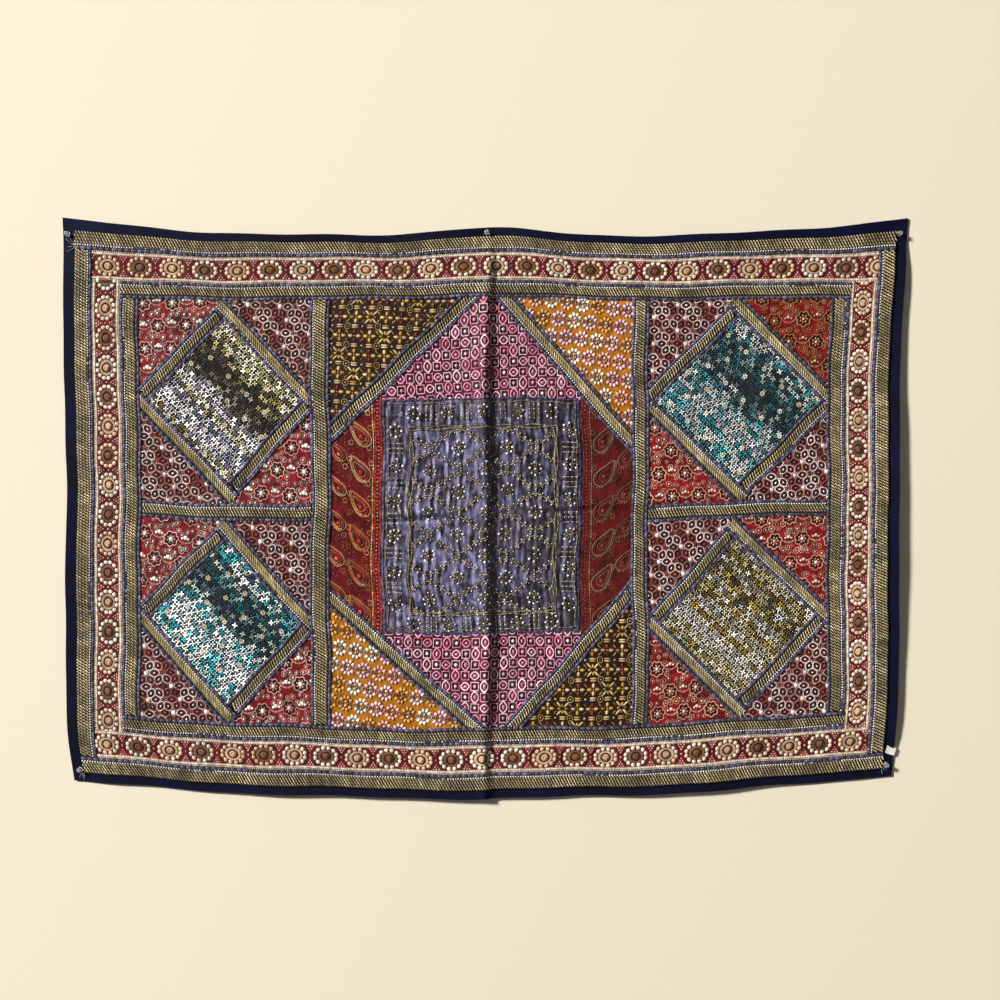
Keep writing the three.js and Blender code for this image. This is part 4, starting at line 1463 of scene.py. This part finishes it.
def make_centre():
    """The satin panel with the patches round it, and the braids and patches at the corners"""
    area = rectangle(*CENTRE)
    inner_edges = []
    brown, orange = ("brown_gold", brown_flowers), ("orange_floral", orange_flowers)
    for corner, (slot, sew) in (("upper_left", brown), ("upper_right", orange),
                                ("lower_left", orange), ("lower_right", brown)):
        middle = slant_line(corner)
        inner_edges.append(moved(middle, SLANT_BRAID / 2))
        patch(f"centre_{corner}", cut(area, moved(middle, -SLANT_BRAID / 2)[::-1]), slot, sew)
        past = (middle[1] - middle[0]) / np.linalg.norm(middle[1] - middle[0]) * 40
        trimming(f"centre_{corner}_braid", [(middle[0] - past, middle[1] + past, SLANT_BRAID,
                                             SLANT_STROKE, 0.0, (1, 1), (0, 1))], area)
    octagon = cut_all(area, inner_edges)
    left, right, bottom, top = PANEL
    left_side, right_side = [(left, 0), (left, 1)], [(right, 1), (right, 0)]
    between = cut_all(octagon, [left_side[::-1], right_side[::-1]])
    patch("centre_panel", rectangle(*PANEL), "blue_satin", couched_panel, 3.0,
          PANEL_PUCKERS, upright_puckers, 0.6)
    patch("centre_paisley_left", cut(octagon, left_side), "paisley_red", paisleys(1))
    patch("centre_paisley_right", cut(octagon, right_side), "paisley_red", paisleys(-1))
    patch("centre_pink_upper", cut(between, [(0, top), (1, top)]), "pink_floral", pink_checks)
    patch("centre_pink_lower", cut(between, [(1, bottom), (0, bottom)]), "pink_floral", pink_checks)


def make_label():
    """A blank woven label, tucked out past the right edge"""
    u, v = np.array(LABEL["u"], float), np.array(LABEL["v"], float)
    (across, up), off_wall = hang(u, v), float(relief(u, v))
    half = np.array([LABEL["width"], LABEL["height"]]) / 2
    us, vs = (grid.ravel() for grid in np.meshgrid(np.linspace(-1, 1, 11), np.linspace(-1, 1, 9)))
    flat = np.stack([us, vs], axis=-1) * half
    turned = spun(flat, LABEL["turn"])
    curl = 0.5 * us**2 + 0.25 * np.sin(vs * 2 + us)
    points = np.stack([across + turned[:, 0], -(off_wall + 1.9 + curl), up + turned[:, 1]], axis=-1)
    quads = grid_faces(11, 9)
    piece = new_mesh("label_tape", points / 1000, quads.ravel(), 0, len(quads), [LABEL_TAPE],
                     np.zeros(len(quads)))
    map_flat(piece.data, flat)
    thicken(piece, 0.4)
    attach(piece, "label")


# --- Push pins ---

def make_pin_handle(name):
    """A clear handle, drawn up from its flange ring by ring"""
    sections = [(4.45, 0.0), (4.75, 0.3), (4.75, 1.3), (4.4, 1.75), (3.2, 2.6), (2.75, 3.4),
                (2.6, 5.0), (2.65, 7.6), (2.9, 8.4), (3.9, 9.7), (4.2, 10.3), (4.2, 11.3),
                (3.9, 11.8), (3.2, 12.0), (1.4, 12.05)]
    bpy.ops.object.select_all(action="DESELECT")
    bpy.ops.mesh.primitive_circle_add(vertices=32, radius=sections[0][0] / 1000,
                                      fill_type="TRIFAN")
    bpy.ops.object.mode_set(mode="EDIT")
    bpy.ops.mesh.select_all(action="SELECT")
    for (radius, height), (next_radius, next_height) in zip(sections, sections[1:]):
        bpy.ops.mesh.extrude_region_move(
            TRANSFORM_OT_translate={"value": (0, 0, (next_height - height) / 1000)})
        scale = next_radius / radius
        bpy.ops.transform.resize(value=(scale, scale, 1))
    bpy.ops.mesh.select_all(action="SELECT")
    bpy.ops.mesh.normals_make_consistent(inside=False)
    bpy.ops.object.mode_set(mode="OBJECT")
    piece = bpy.context.object
    piece.name = f"pin_{name}_grip"
    low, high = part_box(f"pin_{name}_handle")
    for corner in piece.data.vertices:
        x, y, z = corner.co
        corner.co = ((low[0] + high[0]) / 2 + x, high[1] - z, (low[2] + high[2]) / 2 + y)
    piece.data.materials.append(CLEAR_PLASTIC)
    apply_all(piece)
    attach(piece, f"pin_{name}_handle", f"pin_{name}")
    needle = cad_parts[f"pin_{name}_needle"]
    for slot in needle.material_slots:
        slot.material = STEEL


# --- Stage ---

def stage_plane(name, size, place_at, turn, code):
    bpy.ops.object.select_all(action="DESELECT")
    bpy.ops.mesh.primitive_plane_add(size=size, location=place_at, rotation=turn)
    plane = bpy.context.object
    plane.name = name
    material, tree, shader = start_material(name, 0.85)
    grain = add_node(tree, "TexNoise", Vector=in_object(tree), Scale=240.0, Detail=3.0).outputs
    dress(tree, shader, mixed(tree, 0.03, code, grain["Color"], "OVERLAY"), None, grain["Fac"],
          0.0006, 0.25)
    plane.visible_diffuse = False
    plane.data.materials.append(material)
    return plane, tree, shader


def make_stage():
    """A plain wall and floor, in the light of one soft far window"""
    wall, tree, shader = stage_plane("plain_wall", 9.0, (0, 0.0012, 0), (math.pi / 2, 0, 0), "efe8d4")
    # The wall is only seen from its front, and lets the light of the room behind it through
    choice = add_node(tree, "MixShader")
    feed(tree, choice.inputs[0], add_node(tree, "NewGeometry").outputs["Backfacing"])
    feed(tree, choice.inputs[1], shader.outputs[0])
    feed(tree, choice.inputs[2], add_node(tree, "BsdfTransparent").outputs[0])
    feed(tree, tree.nodes["Material Output"].inputs[0], choice.outputs[0])
    wall.visible_shadow = False
    stage_plane("pale_floor", 14.0, (0, 0, -1.25), (0, 0, 0), "dcd8d0")
    world = bpy.data.worlds.new("soft room")
    world.use_nodes = True
    room = world.node_tree.nodes["Background"]
    room.inputs[0].default_value = rgba("f4f2ec")
    room.inputs[1].default_value = 0.1
    bpy.context.scene.world = world
    for name, size, power, spot, code in (
        ("window", 3.6, 10600.0, (-18.4, -13.2, 9.8), "fff9f2"),
        ("fill", 2.6, 4.0, (2.4, -3.8, 0.4), "fff8f0"),
        ("back", 2.6, 150.0, (1.6, 3.2, 1.4), "fffaf4"),
    ):
        lamp = bpy.data.lights.new(name, "AREA")
        lamp.size = size
        lamp.energy = power
        lamp.color = linear(code)
        holder = bpy.data.objects.new(name, lamp)
        holder.location = spot
        face_centre(holder)
        bpy.context.scene.collection.objects.link(holder)


def face_centre(holder):
    """Turns a lamp to face the middle of the cloth"""
    x, y, z = (-part for part in holder.location)
    rise = math.atan2(z, math.hypot(x, y))
    holder.rotation_euler = (math.pi / 2 + rise, 0, math.atan2(-x, y))


def make_camera():
    lens = bpy.data.cameras.new("camera")
    lens.lens = 59.5
    lens.sensor_width = 36.0
    camera = bpy.data.objects.new("camera", lens)
    camera.location = (0.0236, -3.0, 0.015)
    camera.rotation_euler = (math.pi / 2, 0, 0)
    bpy.context.scene.collection.objects.link(camera)
    bpy.context.scene.camera = camera


bpy.context.scene.view_settings.view_transform = "Standard"
make_camera()
make_stage()
backing = make_backing()
trimmings = make_trimmings()
make_border()
make_squares()
make_centre()
make_label()
for pin_name in PINS:
    make_pin_handle(pin_name)
